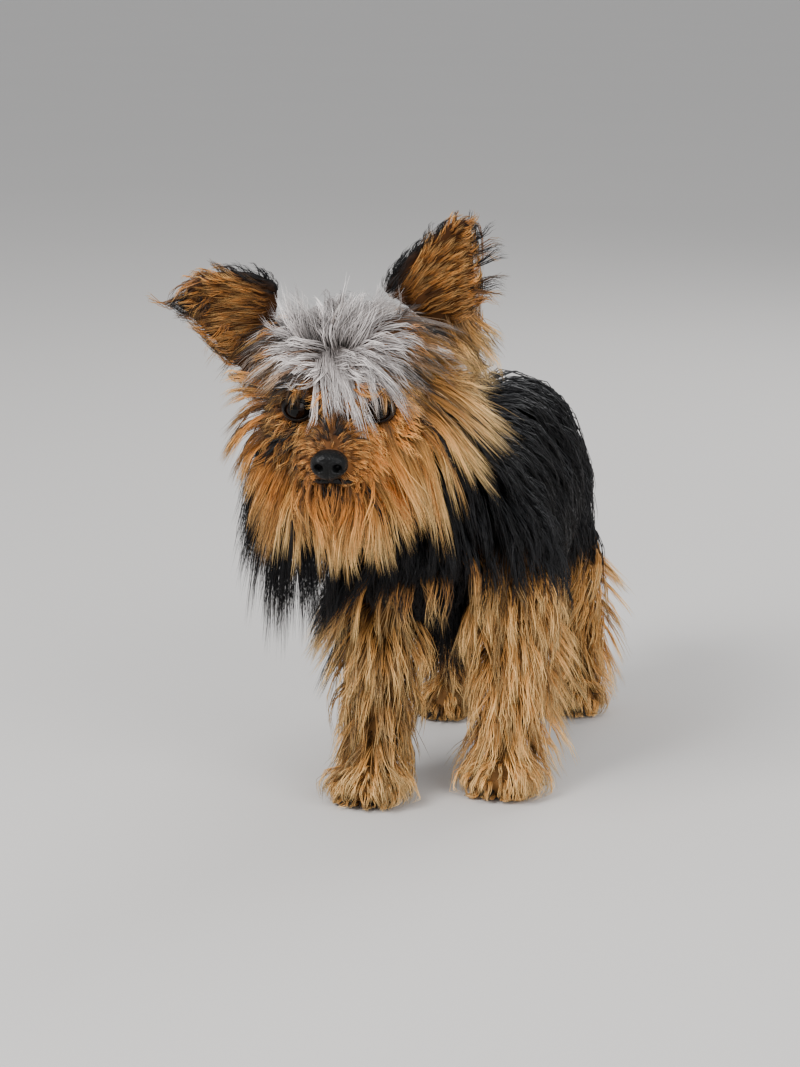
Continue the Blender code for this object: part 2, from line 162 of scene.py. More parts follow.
def unit(vectors):
    size = np.linalg.norm(vectors, axis=-1, keepdims=True)
    return vectors / np.maximum(size, 1e-9)


def along(vectors, others):
    return np.sum(vectors * others, axis=-1, keepdims=True)


def egg(middle, half):
    """The matrix that carries a unit ball to its middle and half sizes."""
    return Matrix.Translation(middle) @ Matrix.Diagonal((*half, 1))


def is_front(corner):
    return corner.startswith("front")


def ear_side(name):
    """1 for the left ear and -1 for the right one."""
    return math.copysign(1.0, EARS[name]["root"][0])


def eye_place(side):
    return HEAD @ Matrix.Translation((side * EYE_APART / 2, EYE_SETBACK, 0))


def smooth(values, low, high):
    """0 below low and 1 above high, with soft ends."""
    share = np.clip((values - low) / (high - low), 0.0, 1.0)
    return share * share * (3.0 - 2.0 * share)


def near(points, centre, radius):
    """1 at the centre, falling softly to 0 at the radius."""
    return 1.0 - smooth(np.linalg.norm(points - np.array(centre), axis=-1), 0.0, radius)


# Flesh on the head: its group, its middle in the head's frame and its half sizes.
HEAD_FLESH = (
    ("skull", (0.0000, 0.0310, 0.0050), (0.0290, 0.0330, 0.0280)),
    ("skull", (0.0000, 0.0120, 0.0080), (0.0235, 0.0160, 0.0150)),
    ("skull", (0.0250, 0.0320, 0.0200), (0.0110, 0.0100, 0.0100)),
    ("skull", (-0.0250, 0.0300, 0.0170), (0.0110, 0.0100, 0.0100)),
    ("cheek", (0.0176, 0.0102, 0.0000), (0.0108, 0.0107, 0.0104)),
    ("cheek", (-0.0176, 0.0102, 0.0000), (0.0108, 0.0107, 0.0104)),
    ("cheek", (0.0165, 0.0200, -0.0140), (0.0150, 0.0210, 0.0170)),
    ("cheek", (-0.0165, 0.0200, -0.0140), (0.0150, 0.0210, 0.0170)),
    ("muzzle", (0.0000, -0.0050, -0.0125), (0.0130, 0.0170, 0.0105)),
    ("muzzle", (0.0000, -0.0195, -0.0140), (0.0098, 0.0108, 0.0082)),
    ("muzzle", (0.0050, -0.0225, -0.0195), (0.0062, 0.0078, 0.0060)),
    ("muzzle", (-0.0050, -0.0225, -0.0195), (0.0062, 0.0078, 0.0060)),
    ("muzzle", (0.0082, -0.0120, -0.0180), (0.0076, 0.0118, 0.0076)),
    ("muzzle", (-0.0082, -0.0120, -0.0180), (0.0076, 0.0118, 0.0076)),
    ("chin", (0.0000, -0.0175, -0.0285), (0.0068, 0.0088, 0.0042)),
    ("chin", (0.0000, -0.0060, -0.0280), (0.0098, 0.0158, 0.0056)),
    ("chin", (0.0000, 0.0140, -0.0260), (0.0150, 0.0170, 0.0100)),
)

# Flesh of the trunk and limbs, from the dog's breast: places left, back and up with their radii.
TRUNK_FLESH = (
    ((-0.011, -0.079, 0.122), 0.012),
    ((-0.011, -0.058, 0.126), 0.034),
    ((-0.009, -0.028, 0.130), 0.049),
    ((-0.006, 0.015, 0.134), 0.050),
    ((-0.007, 0.053, 0.137), 0.043),
    ((-0.008, 0.078, 0.137), 0.031),
    ((-0.006, 0.096, 0.140), 0.013),
)
TAIL_FLESH = (
    ((-0.005, 0.104, 0.155), 0.0085),
    ((-0.006, 0.120, 0.146), 0.0062),
    ((-0.007, 0.133, 0.128), 0.0050),
    ((-0.008, 0.140, 0.104), 0.0042),
    ((-0.008, 0.142, 0.092), 0.0030),
)


def neck_flesh():
    top = on_head(0, 0.042, 0) - STANCE
    throat = on_head(0, 0.060, -0.028) - STANCE
    return ((top[:], 0.026), (throat[:], 0.030), ((-0.006, -0.045, 0.140), 0.036))


def fore_leg_flesh(corner):
    left, back, _ = PAWS[corner]
    side = math.copysign(1.0, left)
    return (
        ((0.55 * left + 0.008 * side, -0.045, 0.128), 0.0200),
        ((0.85 * left + 0.004 * side, 0.5 * (back - 0.045) + 0.004, 0.092), 0.0150),
        ((left, back + 0.008, 0.056), 0.0102),
        ((left, back + 0.004, 0.026), 0.0088),
        ((left, back, 0.013), 0.0090),
    )


def hind_leg_flesh(corner):
    left, back, _ = PAWS[corner]
    side = math.copysign(1.0, left)
    return (
        ((0.013 * side - 0.003, 0.068, 0.126), 0.0220),
        ((0.78 * left, back - 0.022, 0.094), 0.0175),
        ((0.94 * left, back - 0.002, 0.062), 0.0100),
        ((left, back + 0.010, 0.038), 0.0074),
        ((left, back + 0.003, 0.014), 0.0078),
    )


def paw_place(corner):
    left, back, turn = PAWS[corner]
    return Matrix.Translation(in_stance(left, back, 0)) @ Matrix.Rotation(math.radians(turn), 4, "Z")


TOES = (-0.0092, -0.0033, 0.0033, 0.0092)
CLAW_SPREAD = (-24.0, -8.0, 8.0, 24.0)


def chain(group, stations, narrow=1.0):
    """Beads of flesh from one station of a limb to the next."""
    beads = []
    for (start, first), (end, last) in zip(stations, stations[1:]):
        start, end = Vector(start), Vector(end)
        count = max(1, math.ceil((end - start).length / (0.30 * min(first, last))))
        for number in range(count + 1):
            share = number / count
            radius = first + (last - first) * share
            middle = in_stance(*start.lerp(end, share))
            beads.append((group, egg(middle, (radius * narrow, radius, radius))))
    return beads


def flesh_beads():
    """Every bead of flesh, as its group and the matrix that carries a unit ball to it."""
    beads = [(group, HEAD @ egg(middle, half)) for group, middle, half in HEAD_FLESH]
    beads += chain("neck", neck_flesh())
    beads += chain("trunk", TRUNK_FLESH, TRUNK_NARROW)
    beads += chain("tail", TAIL_FLESH)
    for corner in PAWS:
        beads += chain(corner, fore_leg_flesh(corner) if is_front(corner) else hind_leg_flesh(corner))
        size = 1.0 if is_front(corner) else 0.86
        place = paw_place(corner) @ Matrix.Diagonal((size, size, 1, 1))
        eggs = [egg((0, -0.0045, 0.0105), (0.0125, 0.0140, 0.0085))]
        for toe, spread in zip(TOES, CLAW_SPREAD):
            reach = -0.0150 if abs(spread) < 10 else -0.0128
            eggs.append(egg((toe, reach, 0.0082), (0.0044, 0.0068, 0.0062)))
        beads += [(corner + "_paw", place @ part) for part in eggs]
    return beads


BEADS = flesh_beads()
GROUPS = sorted({group for group, _ in BEADS} | set(EARS))
HEAD_GROUPS = ("skull", "cheek", "muzzle", "chin")


def ear_place(name):
    pose, side = EARS[name], ear_side(name)
    lean = Matrix.Rotation(math.radians(pose["lean"] * side), 4, "Y")
    outward = Matrix.Rotation(math.radians(pose["outward"] * side), 4, "Z")
    return Matrix.Translation(on_head(*pose["root"])) @ head_turn() @ lean @ outward


def on_ear(name, points):
    """How far across and how far up its ear each point lies, and how far it is behind the ear's leaf."""
    pose = EARS[name]
    place = ear_place(name).inverted()
    local = points @ np.array(place.to_3x3()).T + np.array(place.translation)
    height = np.clip(local[:, 2] / pose["length"], -0.4, 1.3)
    half = EAR_HALF_WIDTH * (1 - pose["taper"] * np.clip(height, 0, 1) ** 1.7)
    across = local[:, 0] / half
    cup = EAR_CUP * (1 - 0.75 * height) * (1 - np.clip(across, -1, 1) ** 2)
    return across, height, local[:, 1] - cup


def ear_inside(behind):
    """1 on the inside of an ear's leaf and 0 on its back."""
    return 1 - smooth(behind, -0.0006, 0.0012)


def deselect():
    if bpy.context.object and bpy.context.object.mode != "OBJECT":
        bpy.ops.object.mode_set(mode="OBJECT")
    bpy.ops.object.select_all(action="DESELECT")


def pick(*objects):
    deselect()
    for obj in objects:
        obj.select_set(True)
    bpy.context.view_layer.objects.active = objects[0]
    return objects[0]


def settle(obj):
    """Bakes an object's place into its mesh."""
    pick(obj)
    bpy.ops.object.transform_apply(location=True, rotation=True, scale=True)
    return obj


def joined(objects, name):
    obj = pick(*objects)
    bpy.ops.object.join()
    obj.name = obj.data.name = name
    return settle(obj)


def finish_modifier(obj, kind, **values):
    pick(obj)
    modifier = obj.modifiers.new(kind.lower(), kind)
    for key, value in values.items():
        setattr(modifier, key, value)
    bpy.ops.object.modifier_apply(modifier=modifier.name)
    return obj


def ball(place, segments=24, rings=14, name="ball"):
    deselect()
    bpy.ops.mesh.primitive_uv_sphere_add(segments=segments, ring_count=rings, radius=1.0)
    obj = bpy.context.object
    obj.name = name
    obj.matrix_world = place
    return settle(obj)


def edit_all(obj, tool, **values):
    """Runs one edit-mode tool on all of a mesh."""
    pick(obj)
    bpy.ops.object.mode_set(mode="EDIT")
    bpy.ops.mesh.select_all(action="SELECT")
    tool(**values)
    bpy.ops.object.mode_set(mode="OBJECT")


def read(items, key, width, kind=float):
    """One property of every item, as rows of an array."""
    flat = np.empty(len(items) * width, dtype=kind)
    items.foreach_get(key, flat)
    return flat.reshape(-1, width)


def points_of(obj):
    return read(obj.data.vertices, "co", 3)


def normals_of(obj):
    return read(obj.data.vertex_normals, "vector", 3)


def set_points(obj, points):
    obj.data.vertices.foreach_set("co", np.ascontiguousarray(points).ravel())
    obj.data.update()


def write_attribute(mesh, name, values):
    layer = mesh.attributes.new(name, "FLOAT", "POINT")
    layer.data.foreach_set("value", np.ascontiguousarray(values, dtype=np.float32))


def shade_smooth(obj):
    obj.data.polygons.foreach_set("use_smooth", np.ones(len(obj.data.polygons), dtype=bool))
    return obj


# Materials


def node(tree, kind, place, **values):
    made = tree.nodes.new(kind)
    made.location = place
    for key, value in values.items():
        setattr(made, key, value)
    return made


def link(tree, start, end):
    tree.links.new(start, end)


def new_group(name, inputs, outputs):
    """A shader node group. Its inputs are numbers with their defaults, and its outputs have kinds."""
    tree = bpy.data.node_groups.new(name, "ShaderNodeTree")
    for label, default in inputs:
        socket = tree.interface.new_socket(label, in_out="INPUT", socket_type="NodeSocketFloat")
        socket.default_value = default
    for label, kind in outputs:
        tree.interface.new_socket(label, in_out="OUTPUT", socket_type=kind)
    return tree


def mix_colours(tree, place, share, first, second):
    """A colour mix whose share and colours are sockets or plain values."""
    made = node(tree, "ShaderNodeMix", place, data_type="RGBA")
    for socket, value in ((made.inputs[0], share), (made.inputs[6], first), (made.inputs[7], second)):
        if isinstance(value, bpy.types.NodeSocket):
            link(tree, value, socket)
        else:
            socket.default_value = value
    return made.outputs[2]


def ramp(tree, place, share, stops):
    """Colours along a share from 0 to 1, each stop given as its position and its colour."""
    made = node(tree, "ShaderNodeValToRGB", place)
    first, last = made.color_ramp.elements
    first.position, first.color = stops[0][0], (*stops[0][1], 1)
    last.position, last.color = stops[-1][0], (*stops[-1][1], 1)
    for position, colour in stops[1:-1]:
        made.color_ramp.elements.new(position).color = (*colour, 1)
    link(tree, share, made.inputs[0])
    return made.outputs[0]


def mapped(tree, place, share, low, high):
    """A value that goes from low to high as a share goes from 0 to 1."""
    made = node(tree, "ShaderNodeMapRange", place)
    made.inputs[3].default_value, made.inputs[4].default_value = low, high
    link(tree, share, made.inputs[0])
    return made.outputs[0]


def toned(tree, place, colour, tone, dark, light):
    """A colour made darker or lighter, from dark to light as the tone goes from 0 to 1."""
    shade = node(tree, "ShaderNodeVectorMath", (place[0] + 400, place[1] + 300), operation="SCALE")
    link(tree, colour, shade.inputs[0])
    link(tree, mapped(tree, place, tone, dark, light), shade.inputs["Scale"])
    return shade.outputs[0]


def raised(tree, place, grained, shader, strength, distance):
    """Lets a grain's height raise the shader's surface."""
    bump = node(tree, "ShaderNodeBump", place)
    bump.inputs["Strength"].default_value = strength
    bump.inputs["Distance"].default_value = distance
    link(tree, grained.outputs["Height"], bump.inputs["Height"])
    link(tree, bump.outputs[0], shader.inputs["Normal"])


COAT_KEYS = ("steel", "tan", "gold", "silver")
HAIR_STOPS = (0.0, 0.45, 1.0)
MASKS = ("Tan", "Gold", "Silver")


def coat_colour_group(colours):
    """Hair colour from root to tip for each of the four coats, chosen by the coat's masks. The dark roots
    are partly painted shade.
    """
    tree = new_group(
        "coat_colour",
        [("Tan", 0.0), ("Gold", 0.0), ("Silver", 0.0), ("Along", 0.5), ("Tone", 0.5)],
        [("Colour", "NodeSocketColor")],
    )
    start = node(tree, "NodeGroupInput", (-1200, 0))
    end = node(tree, "NodeGroupOutput", (900, 0))
    shades = [
        ramp(tree, (-800, 300 - 260 * row), start.outputs["Along"], tuple(zip(HAIR_STOPS, colours[key])))
        for row, key in enumerate(COAT_KEYS)
    ]
    colour = shades[0]
    for row, (mask, shade) in enumerate(zip(MASKS, shades[1:])):
        colour = mix_colours(tree, (-300 + 200 * row, 200 - 100 * row), start.outputs[mask], colour, shade)
    link(tree, toned(tree, (100, -300), colour, start.outputs["Tone"], 0.25, 1.75), end.inputs[0])
    return tree


def grain_group():
    """A fine uneven height and a slow mottling, for bare skin, leather and horn."""
    tree = new_group(
        "fine_grain",
        [("Scale", 900.0), ("Pebble", 0.5), ("Mottle Scale", 120.0)],
        [("Height", "NodeSocketFloat"), ("Mottle", "NodeSocketFloat")],
    )
    start = node(tree, "NodeGroupInput", (-900, 0))
    end = node(tree, "NodeGroupOutput", (500, 0))
    place = node(tree, "ShaderNodeTexCoord", (-900, 300))
    cells = node(tree, "ShaderNodeTexVoronoi", (-600, 200), feature="SMOOTH_F1")
    grain = node(tree, "ShaderNodeTexNoise", (-600, -50))
    mottle = node(tree, "ShaderNodeTexNoise", (-600, -300))
    for texture in (cells, grain, mottle):
        link(tree, place.outputs["Object"], texture.inputs["Vector"])
    link(tree, start.outputs["Scale"], cells.inputs["Scale"])
    link(tree, start.outputs["Scale"], grain.inputs["Scale"])
    link(tree, start.outputs["Mottle Scale"], mottle.inputs["Scale"])
    grain.inputs["Detail"].default_value = 4.0
    mottle.inputs["Detail"].default_value = 3.0
    height = node(tree, "ShaderNodeMix", (-200, 100), data_type="FLOAT")
    link(tree, start.outputs["Pebble"], height.inputs[0])
    link(tree, grain.outputs[0], height.inputs[2])
    link(tree, cells.outputs["Distance"], height.inputs[3])
    link(tree, height.outputs[0], end.inputs[0])
    link(tree, mottle.outputs[0], end.inputs[1])
    return tree


def shader_of(name, **values):
    """A new material whose Principled shader has these plain values."""
    material = bpy.data.materials.new(name)
    material.use_nodes = True
    shader = material.node_tree.nodes["Principled BSDF"]
    for key, value in values.items():
        shader.inputs[key.replace("_", " ")].default_value = value
    return material, material.node_tree, shader


def group_node(tree, group, place, **values):
    made = node(tree, "ShaderNodeGroup", place, node_tree=group)
    for key, value in values.items():
        made.inputs[key.replace("_", " ")].default_value = value
    return made


def attribute(tree, name, place):
    return node(tree, "ShaderNodeAttribute", place, attribute_name=name).outputs["Fac"]


def feed(tree, place, group, keys):
    """Links the mesh's attributes to the inputs of the same names."""
    for row, key in enumerate(keys):
        link(tree, attribute(tree, key.lower(), (place[0], place[1] - 180 * row)), group.inputs[key])


def coat_material(name, group, roughness, specular):
    material, tree, shader = shader_of(name, Roughness=roughness, Specular_IOR_Level=specular)
    colour = group_node(tree, group, (-300, 200))
    feed(tree, (-600, 300), colour, (*MASKS, "Along", "Tone"))
    link(tree, colour.outputs[0], shader.inputs["Base Color"])
    return material


def skin_material(coat_group, grain):
    """Short flat fur in the coat's markings, over bare dark lids and lips."""
    material, tree, shader = shader_of("skin_and_short_fur", Roughness=0.7, Specular_IOR_Level=0.15)
    # The short fur takes the coat's colour near the root, which is partly painted shade under the hair.
    colour = group_node(tree, coat_group, (-500, 300), Along=0.06)
    feed(tree, (-800, 400), colour, MASKS)
    grained = group_node(tree, grain, (-800, -300), Scale=700.0, Pebble=0.35, Mottle_Scale=160.0)
    link(tree, grained.outputs["Mottle"], colour.inputs["Tone"])
    bare = attribute(tree, "bare", (-500, -100))
    painted = mix_colours(tree, (-200, 200), bare, colour.outputs[0], (0.004, 0.003, 0.003, 1))
    link(tree, painted, shader.inputs["Base Color"])
    link(tree, mapped(tree, (-200, -100), bare, 0.75, 0.32), shader.inputs["Roughness"])
    raised(tree, (-200, -350), grained, shader, 0.6, 0.0006)
    return material


def leather_material(name, grain, dark, pale, roughness, scale, depth):
    """Pebbled leather or horn whose colour drifts between two shades."""
    material, tree, shader = shader_of(name, Roughness=roughness, Specular_IOR_Level=0.16)
    grained = group_node(tree, grain, (-600, 0), Scale=scale, Pebble=0.8, Mottle_Scale=250.0)
    colour = mix_colours(tree, (-250, 200), grained.outputs["Mottle"], (*dark, 1), (*pale, 1))
    link(tree, colour, shader.inputs["Base Color"])
    raised(tree, (-250, -200), grained, shader, 0.8, depth)
    return material


def eye_material(grain):
    """A wet eye: black pupil, dark brown iris and a darker rim, told by the angle from its axis."""
    material, tree, shader = shader_of(
        "eye_wet", Roughness=0.30, Specular_IOR_Level=0.0, Coat_Weight=0.7, Coat_Roughness=0.02,
        Coat_IOR=1.33)
    grained = group_node(tree, grain, (-900, -100), Scale=1500.0, Pebble=0.3, Mottle_Scale=900.0)
    iris = ramp(tree, (-600, 200), attribute(tree, "off_axis", (-900, 200)), (
        (0.30, (0.0010, 0.0008, 0.0008)), (0.34, (0.0075, 0.0030, 0.0014)),
        (0.60, (0.0110, 0.0045, 0.0020)), (0.70, (0.0020, 0.0015, 0.0015)),
        (0.95, (0.0060, 0.0040, 0.0040)),
    ))
    shade = toned(tree, (-600, -100), iris, grained.outputs["Mottle"], 0.5, 1.5)
    link(tree, shade, shader.inputs["Base Color"])
    return material


def floor_material(colour, grain):
    material, tree, shader = shader_of("floor_matt", Roughness=0.85)
    grained = group_node(tree, grain, (-600, 0), Scale=60.0, Pebble=0.0, Mottle_Scale=3.0)
    darker = tuple(0.97 * part for part in colour)
    painted = mix_colours(tree, (-250, 200), grained.outputs["Mottle"], (*darker, 1), (*colour, 1))
    link(tree, painted, shader.inputs["Base Color"])
    return material


MATERIALS = {}


def finishes():
    """Every finish, made once from the panel's colours."""
    if MATERIALS:
        return MATERIALS
    chosen = bpy.context.scene.terrier_coat
    colours = {
        key: [tuple(getattr(chosen, f"{key}_{part}")) for part in ("root", "middle", "tip")]
        for key in COAT_KEYS
    }
    coat = coat_colour_group(colours)
    grain = grain_group()
    for key, roughness, specular in zip(COAT_KEYS, (0.38, 0.50, 0.50, 0.42), (0.32, 0.35, 0.35, 0.45)):
        MATERIALS["coat_" + key] = coat_material(f"coat_{key}_hair", coat, roughness, specular)
    MATERIALS["skin"] = skin_material(coat, grain)
    MATERIALS["nose"] = leather_material(
        "nose_leather_moist", grain, (0.0015, 0.0015, 0.0016), (0.004, 0.004, 0.004), 0.38, 1300.0, 0.0004)
    MATERIALS["pad"] = leather_material(
        "pad_leather_matt", grain, (0.008, 0.007, 0.007), (0.022, 0.018, 0.017), 0.62, 1500.0, 0.0003)
    MATERIALS["claw"] = leather_material(
        "claw_horn_satin", grain, (0.008, 0.007, 0.006), (0.030, 0.024, 0.020), 0.30, 500.0, 0.0001)
    MATERIALS["eye"] = eye_material(grain)
    MATERIALS["floor"] = floor_material(bpy.context.scene.terrier_stage.floor_colour, grain)
    return MATERIALS


def dress(obj, finish):
    """Gives a finished piece its material and its ride on the dog's one body."""
    obj.data.materials.clear()
    obj.data.materials.append(finishes()[finish])
    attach(obj, "root")
    return obj


# Skin


def nearest_group(points):
    """The number in GROUPS of the flesh that each point belongs to."""
    best = np.full(len(points), 1e9)
    group = np.zeros(len(points), dtype=int)
    for name, place in BEADS:
        inside = place.inverted()
        local = points @ np.array(inside.to_3x3()).T + np.array(inside.translation)
        size = np.mean(place.to_scale())
        far = (np.linalg.norm(local, axis=1) - 1.0) * size
        closer = far < best
        best[closer] = far[closer]
        group[closer] = GROUPS.index(name)
    for name in EARS:
        across, height, behind = on_ear(name, points)
        on_leaf = (height > 0.0) & (height < 1.2) & (np.abs(across) < 1.35) & (np.abs(behind) < 0.006)
        on_leaf &= best > 0.0012
        group[on_leaf] = GROUPS.index(name)
    return group


def ear_flesh(name):
    """One ear's thin leaf, cupped to the front."""
    pose, side, place = EARS[name], ear_side(name), ear_place(name)
    deselect()
    bpy.ops.mesh.primitive_grid_add(x_subdivisions=22, y_subdivisions=28, size=2.0)
    leaf = bpy.context.object
    for vert in leaf.data.vertices:
        across, height = vert.co.x, (vert.co.y + 1) / 2
        half = EAR_HALF_WIDTH * (1 - pose["taper"] * height**1.7)
        cup = EAR_CUP * (1 - 0.75 * height)
        bend = math.radians(pose["fold"]) * height**2
        rise = pose["length"] * height
        vert.co = place @ Vector((
            across * half + side * rise * math.sin(bend) * 0.5,
            cup * (1 - across * across) - rise * math.sin(bend) * 0.35,
            rise * math.cos(bend) - 0.012 * (1 - height) * across * side,
        ))
    return finish_modifier(leaf, "SOLIDIFY", thickness=EAR_THICKNESS, offset=0.0)


def lid_ring(side):
    """The dark rims of one eye: a ring drawn to an almond that hugs the eyeball."""
    deselect()
    bpy.ops.mesh.primitive_torus_add(
        major_radius=LID_RADIUS, minor_radius=0.0010, major_segments=48, minor_segments=12)
    ring = bpy.context.object
    for vert in ring.data.vertices:
        wide, high, thick = vert.co
        out = math.hypot(wide, high)
        lid = 0.80 if high > 0 else 0.74
        inner_corner = 1.0 + 0.10 * max(0.0, -wide * side / LID_RADIUS)
        wide, high = wide * 1.02 * inner_corner, high * lid
        reach = min(0.99, math.hypot(wide, high) / (EYE_RADIUS + 0.0006))
        front = -(EYE_RADIUS + 0.0001) * math.sqrt(1 - reach * reach)
        vert.co = Vector((wide, front - thick * 0.9 + (out - LID_RADIUS) * 0.4, high))
    ring.matrix_world = eye_place(side)
    return settle(ring)


def lip_line():
    """The dark lips: a rope from under the nose along each side of the mouth."""
    deselect()
    bpy.ops.curve.primitive_bezier_curve_add()
    rope = bpy.context.object
    rope.data.splines.clear()
    lips = ((-0.0140, -0.0060, -0.0240), (-0.0118, -0.0175, -0.0243), (-0.0068, -0.0262, -0.0250),
            (0.0, -0.0290, -0.0232), (0.0068, -0.0262, -0.0250), (0.0118, -0.0175, -0.0243),
            (0.0140, -0.0060, -0.0240))
    groove = ((0.0, -0.0325, -0.0190), (0.0, -0.0318, -0.0212), (0.0, -0.0292, -0.0235))
    for path in (lips, groove):
        spline = rope.data.splines.new("NURBS")
        spline.points.add(len(path) - 1)
        for point, place in zip(spline.points, path):
            point.co = (*place, 1.0)
        spline.use_endpoint_u = True
        spline.order_u = 3
    rope.data.bevel_depth = 0.0013
    rope.data.bevel_resolution = 3
    rope.data.resolution_u = 8
    rope.data.use_fill_caps = True
    rope.matrix_world = HEAD
    pick(rope)
    bpy.ops.object.convert(target="MESH")
    return settle(rope)


def mark_bare(obj, value):
    write_attribute(obj.data, "bare", np.full(len(obj.data.vertices), value))
    return obj


def build_skin(voxel):
    """Flesh beads and ears fused into one skin, with lids and lips set in."""
    deselect()
    pattern = ball(Matrix(), 20, 12)
    beads = []
    for _, place in BEADS:
        bead = pattern.copy()
        bead.data = pattern.data.copy()
        bpy.context.scene.collection.objects.link(bead)
        bead.matrix_world = place
        beads.append(bead)
    bpy.data.objects.remove(pattern)
    bpy.context.view_layer.update()
    skin = joined(beads, "flesh")
    skin = joined([skin] + [ear_flesh(name) for name in EARS], "skin")
    finish_modifier(skin, "REMESH", mode="VOXEL", voxel_size=voxel)
    finish_modifier(skin, "SMOOTH", factor=0.5, iterations=5)
    points = points_of(skin)
    points[:, 2] = np.maximum(points[:, 2], SKIN_FLOOR)
    set_points(skin, points)
    wrinkle_skin(skin)
    mark_bare(skin, 0.0)
    rims = [mark_bare(piece, 1.0) for piece in (lid_ring(1), lid_ring(-1), lip_line())]
    skin = joined([skin] + rims, "skin")
    edit_all(skin, bpy.ops.uv.smart_project, angle_limit=math.radians(66), island_margin=0.001)
    skin.data.uv_layers[0].name = "OFBake"
    return shade_smooth(skin)


def wrinkle_skin(skin):
    """Soft folds round the throat, elbows and knees."""
    points, normals = points_of(skin), normals_of(skin)
    local = to_stance(points)
    throat = near(points, on_head(0, 0.040, -0.040)[:], 0.050)
    joints = np.zeros(len(points))
    for left, back, _ in PAWS.values():
        joints = np.maximum(joints, near(local, (left, back + 0.004, 0.060), 0.026))
    ripple = np.sin(local[:, 2] * 900 + 3.0 * np.sin(local[:, 0] * 160) + 2.0 * np.sin(local[:, 1] * 130))
    points += normals * (0.0006 * ripple * np.maximum(throat, joints))[:, None]
    set_points(skin, points)


# Markings


def brow_line(head):
    """1 on the crown and 0 on the face. The line between them is highest over the nose."""
    rise = 0.007 * (1 - smooth(head[:, 1], 0.004, 0.016)) * (1 - smooth(np.abs(head[:, 0]), 0.010, 0.024))
    return smooth(head[:, 2] - rise, 0.003, 0.011)


def markings(points, group):
    """Shares of tan, gold and silver at each point of the coat. What is left is steel."""
    head = to_head(points)
    stance = to_stance(points)
    tan = np.zeros(len(points))
    gold = np.zeros(len(points))
    silver = np.zeros(len(points))
    name = np.array(GROUPS)[group]
    on_skull = np.isin(name, HEAD_GROUPS)
    left, back, up = head.T
    crown = brow_line(head) * on_skull
    to_gold = smooth(left, 0.022, 0.030) * (1 - smooth(up, 0.018, 0.028))
    nape = smooth(back, 0.040, 0.056)
    grey_side = 1 - 0.62 * smooth(-left, 0.012, 0.024) - 0.62 * smooth(left, 0.008, 0.022)
    silver += crown * (1 - to_gold) * (1 - nape) * grey_side
    tan += crown * (1 - to_gold) * (1 - nape) * 1.3 * (1 - grey_side)
    gold += crown * to_gold * (1 - 0.75 * nape)
    mouth = near(head, (0.0, -0.030, -0.021), 0.011)
    mouth = np.maximum(mouth, 0.62 * near(head, (0.0, -0.018, -0.008), 0.020))
    tan += on_skull * (1 - crown) * (1 - nape) * (1 - 0.48 * smooth(-left, 0.006, 0.018)) * (1 - mouth)
    gold += on_skull * smooth(-up, 0.022, 0.036) * 0.7 * (1 - nape)
    left_fall = smooth(left, 0.004, 0.018) * smooth(up, -0.034, -0.016) * (1 - smooth(back, 0.056, 0.072))
    gold += (name == "neck") * left_fall
    for corner in PAWS:
        leg = (name == corner) | (name == corner + "_paw")
        top = 0.126 if is_front(corner) else 0.108
        gold += leg * (1 - smooth(stance[:, 2], top - 0.016, top))
    on_trunk = name == "trunk"
    elbow = (1 - smooth(stance[:, 2], 0.100, 0.114)) * smooth(-stance[:, 1], 0.010, 0.030)
    gold += on_trunk * elbow * smooth(np.abs(stance[:, 0] + 0.004), 0.012, 0.022)
    thigh = (1 - smooth(stance[:, 2], 0.088, 0.104)) * smooth(stance[:, 1], 0.050, 0.066)
    gold += on_trunk * thigh
    tail_under = (name == "tail") * (1 - smooth(stance[:, 1], 0.106, 0.128))
    gold += 0.6 * tail_under * (1 - smooth(stance[:, 2], 0.140, 0.152))
    for ear in EARS:
        mine = name == ear
        across, height, behind = on_ear(ear, points)
        edge = 0.7 * smooth(np.abs(across), 0.72, 1.0)
        tip = 0.4 * smooth(height, 0.76, 1.0)
        tan += mine * np.clip(0.35 + 0.65 * ear_inside(behind) - edge - tip, 0, 1)
    return np.clip(tan, 0, 1), np.clip(gold, 0, 1), np.clip(silver, 0, 1)


def tones(points, group):
    """How light the coat is at each root. 0.5 is plain, and more is lighter."""
    head = to_head(points)
    name = np.array(GROUPS)[group]
    left = head[:, 0]
    on_skull = np.isin(name, HEAD_GROUPS)
    crown = on_skull * brow_line(head)
    face = on_skull * (1 - crown)
    # The crown is lighter on top and darker at its sides: partly its own silver and brown, partly painted
    # top light and side shade.
    tone = 0.5 + 0.36 * crown * near(head, (-0.003, 0.006, 0.026), 0.034)
    tone -= 0.36 * crown * smooth(np.abs(left + 0.001), 0.010, 0.024)
    tone -= 0.48 * on_skull * near(head, (0.0, -0.018, -0.002), 0.024)
    tone -= 0.24 * face * smooth(-left, 0.006, 0.020)
    tone += 0.44 * face * near(head, (0.026, 0.000, -0.018), 0.034)
    # Painted light and shade: the near left legs are made lighter and the far right legs darker.
    tone += 0.12 * np.isin(name, ("hind_left", "hind_left_paw", "front_left", "front_left_paw"))
    tone -= 0.08 * np.isin(name, ("hind_right", "hind_right_paw", "front_right", "front_right_paw"))
    # Painted shade: each ear is made duller, the right one more, and darker still towards its root where it
    # cups.
    for ear, duller in (("ear_left", 0.12), ("ear_right", 0.22)):
        height = on_ear(ear, points)[1]
        tone -= (name == ear) * (duller + 0.22 * (1 - smooth(height, 0.10, 0.50)))
    return tone


# Coat


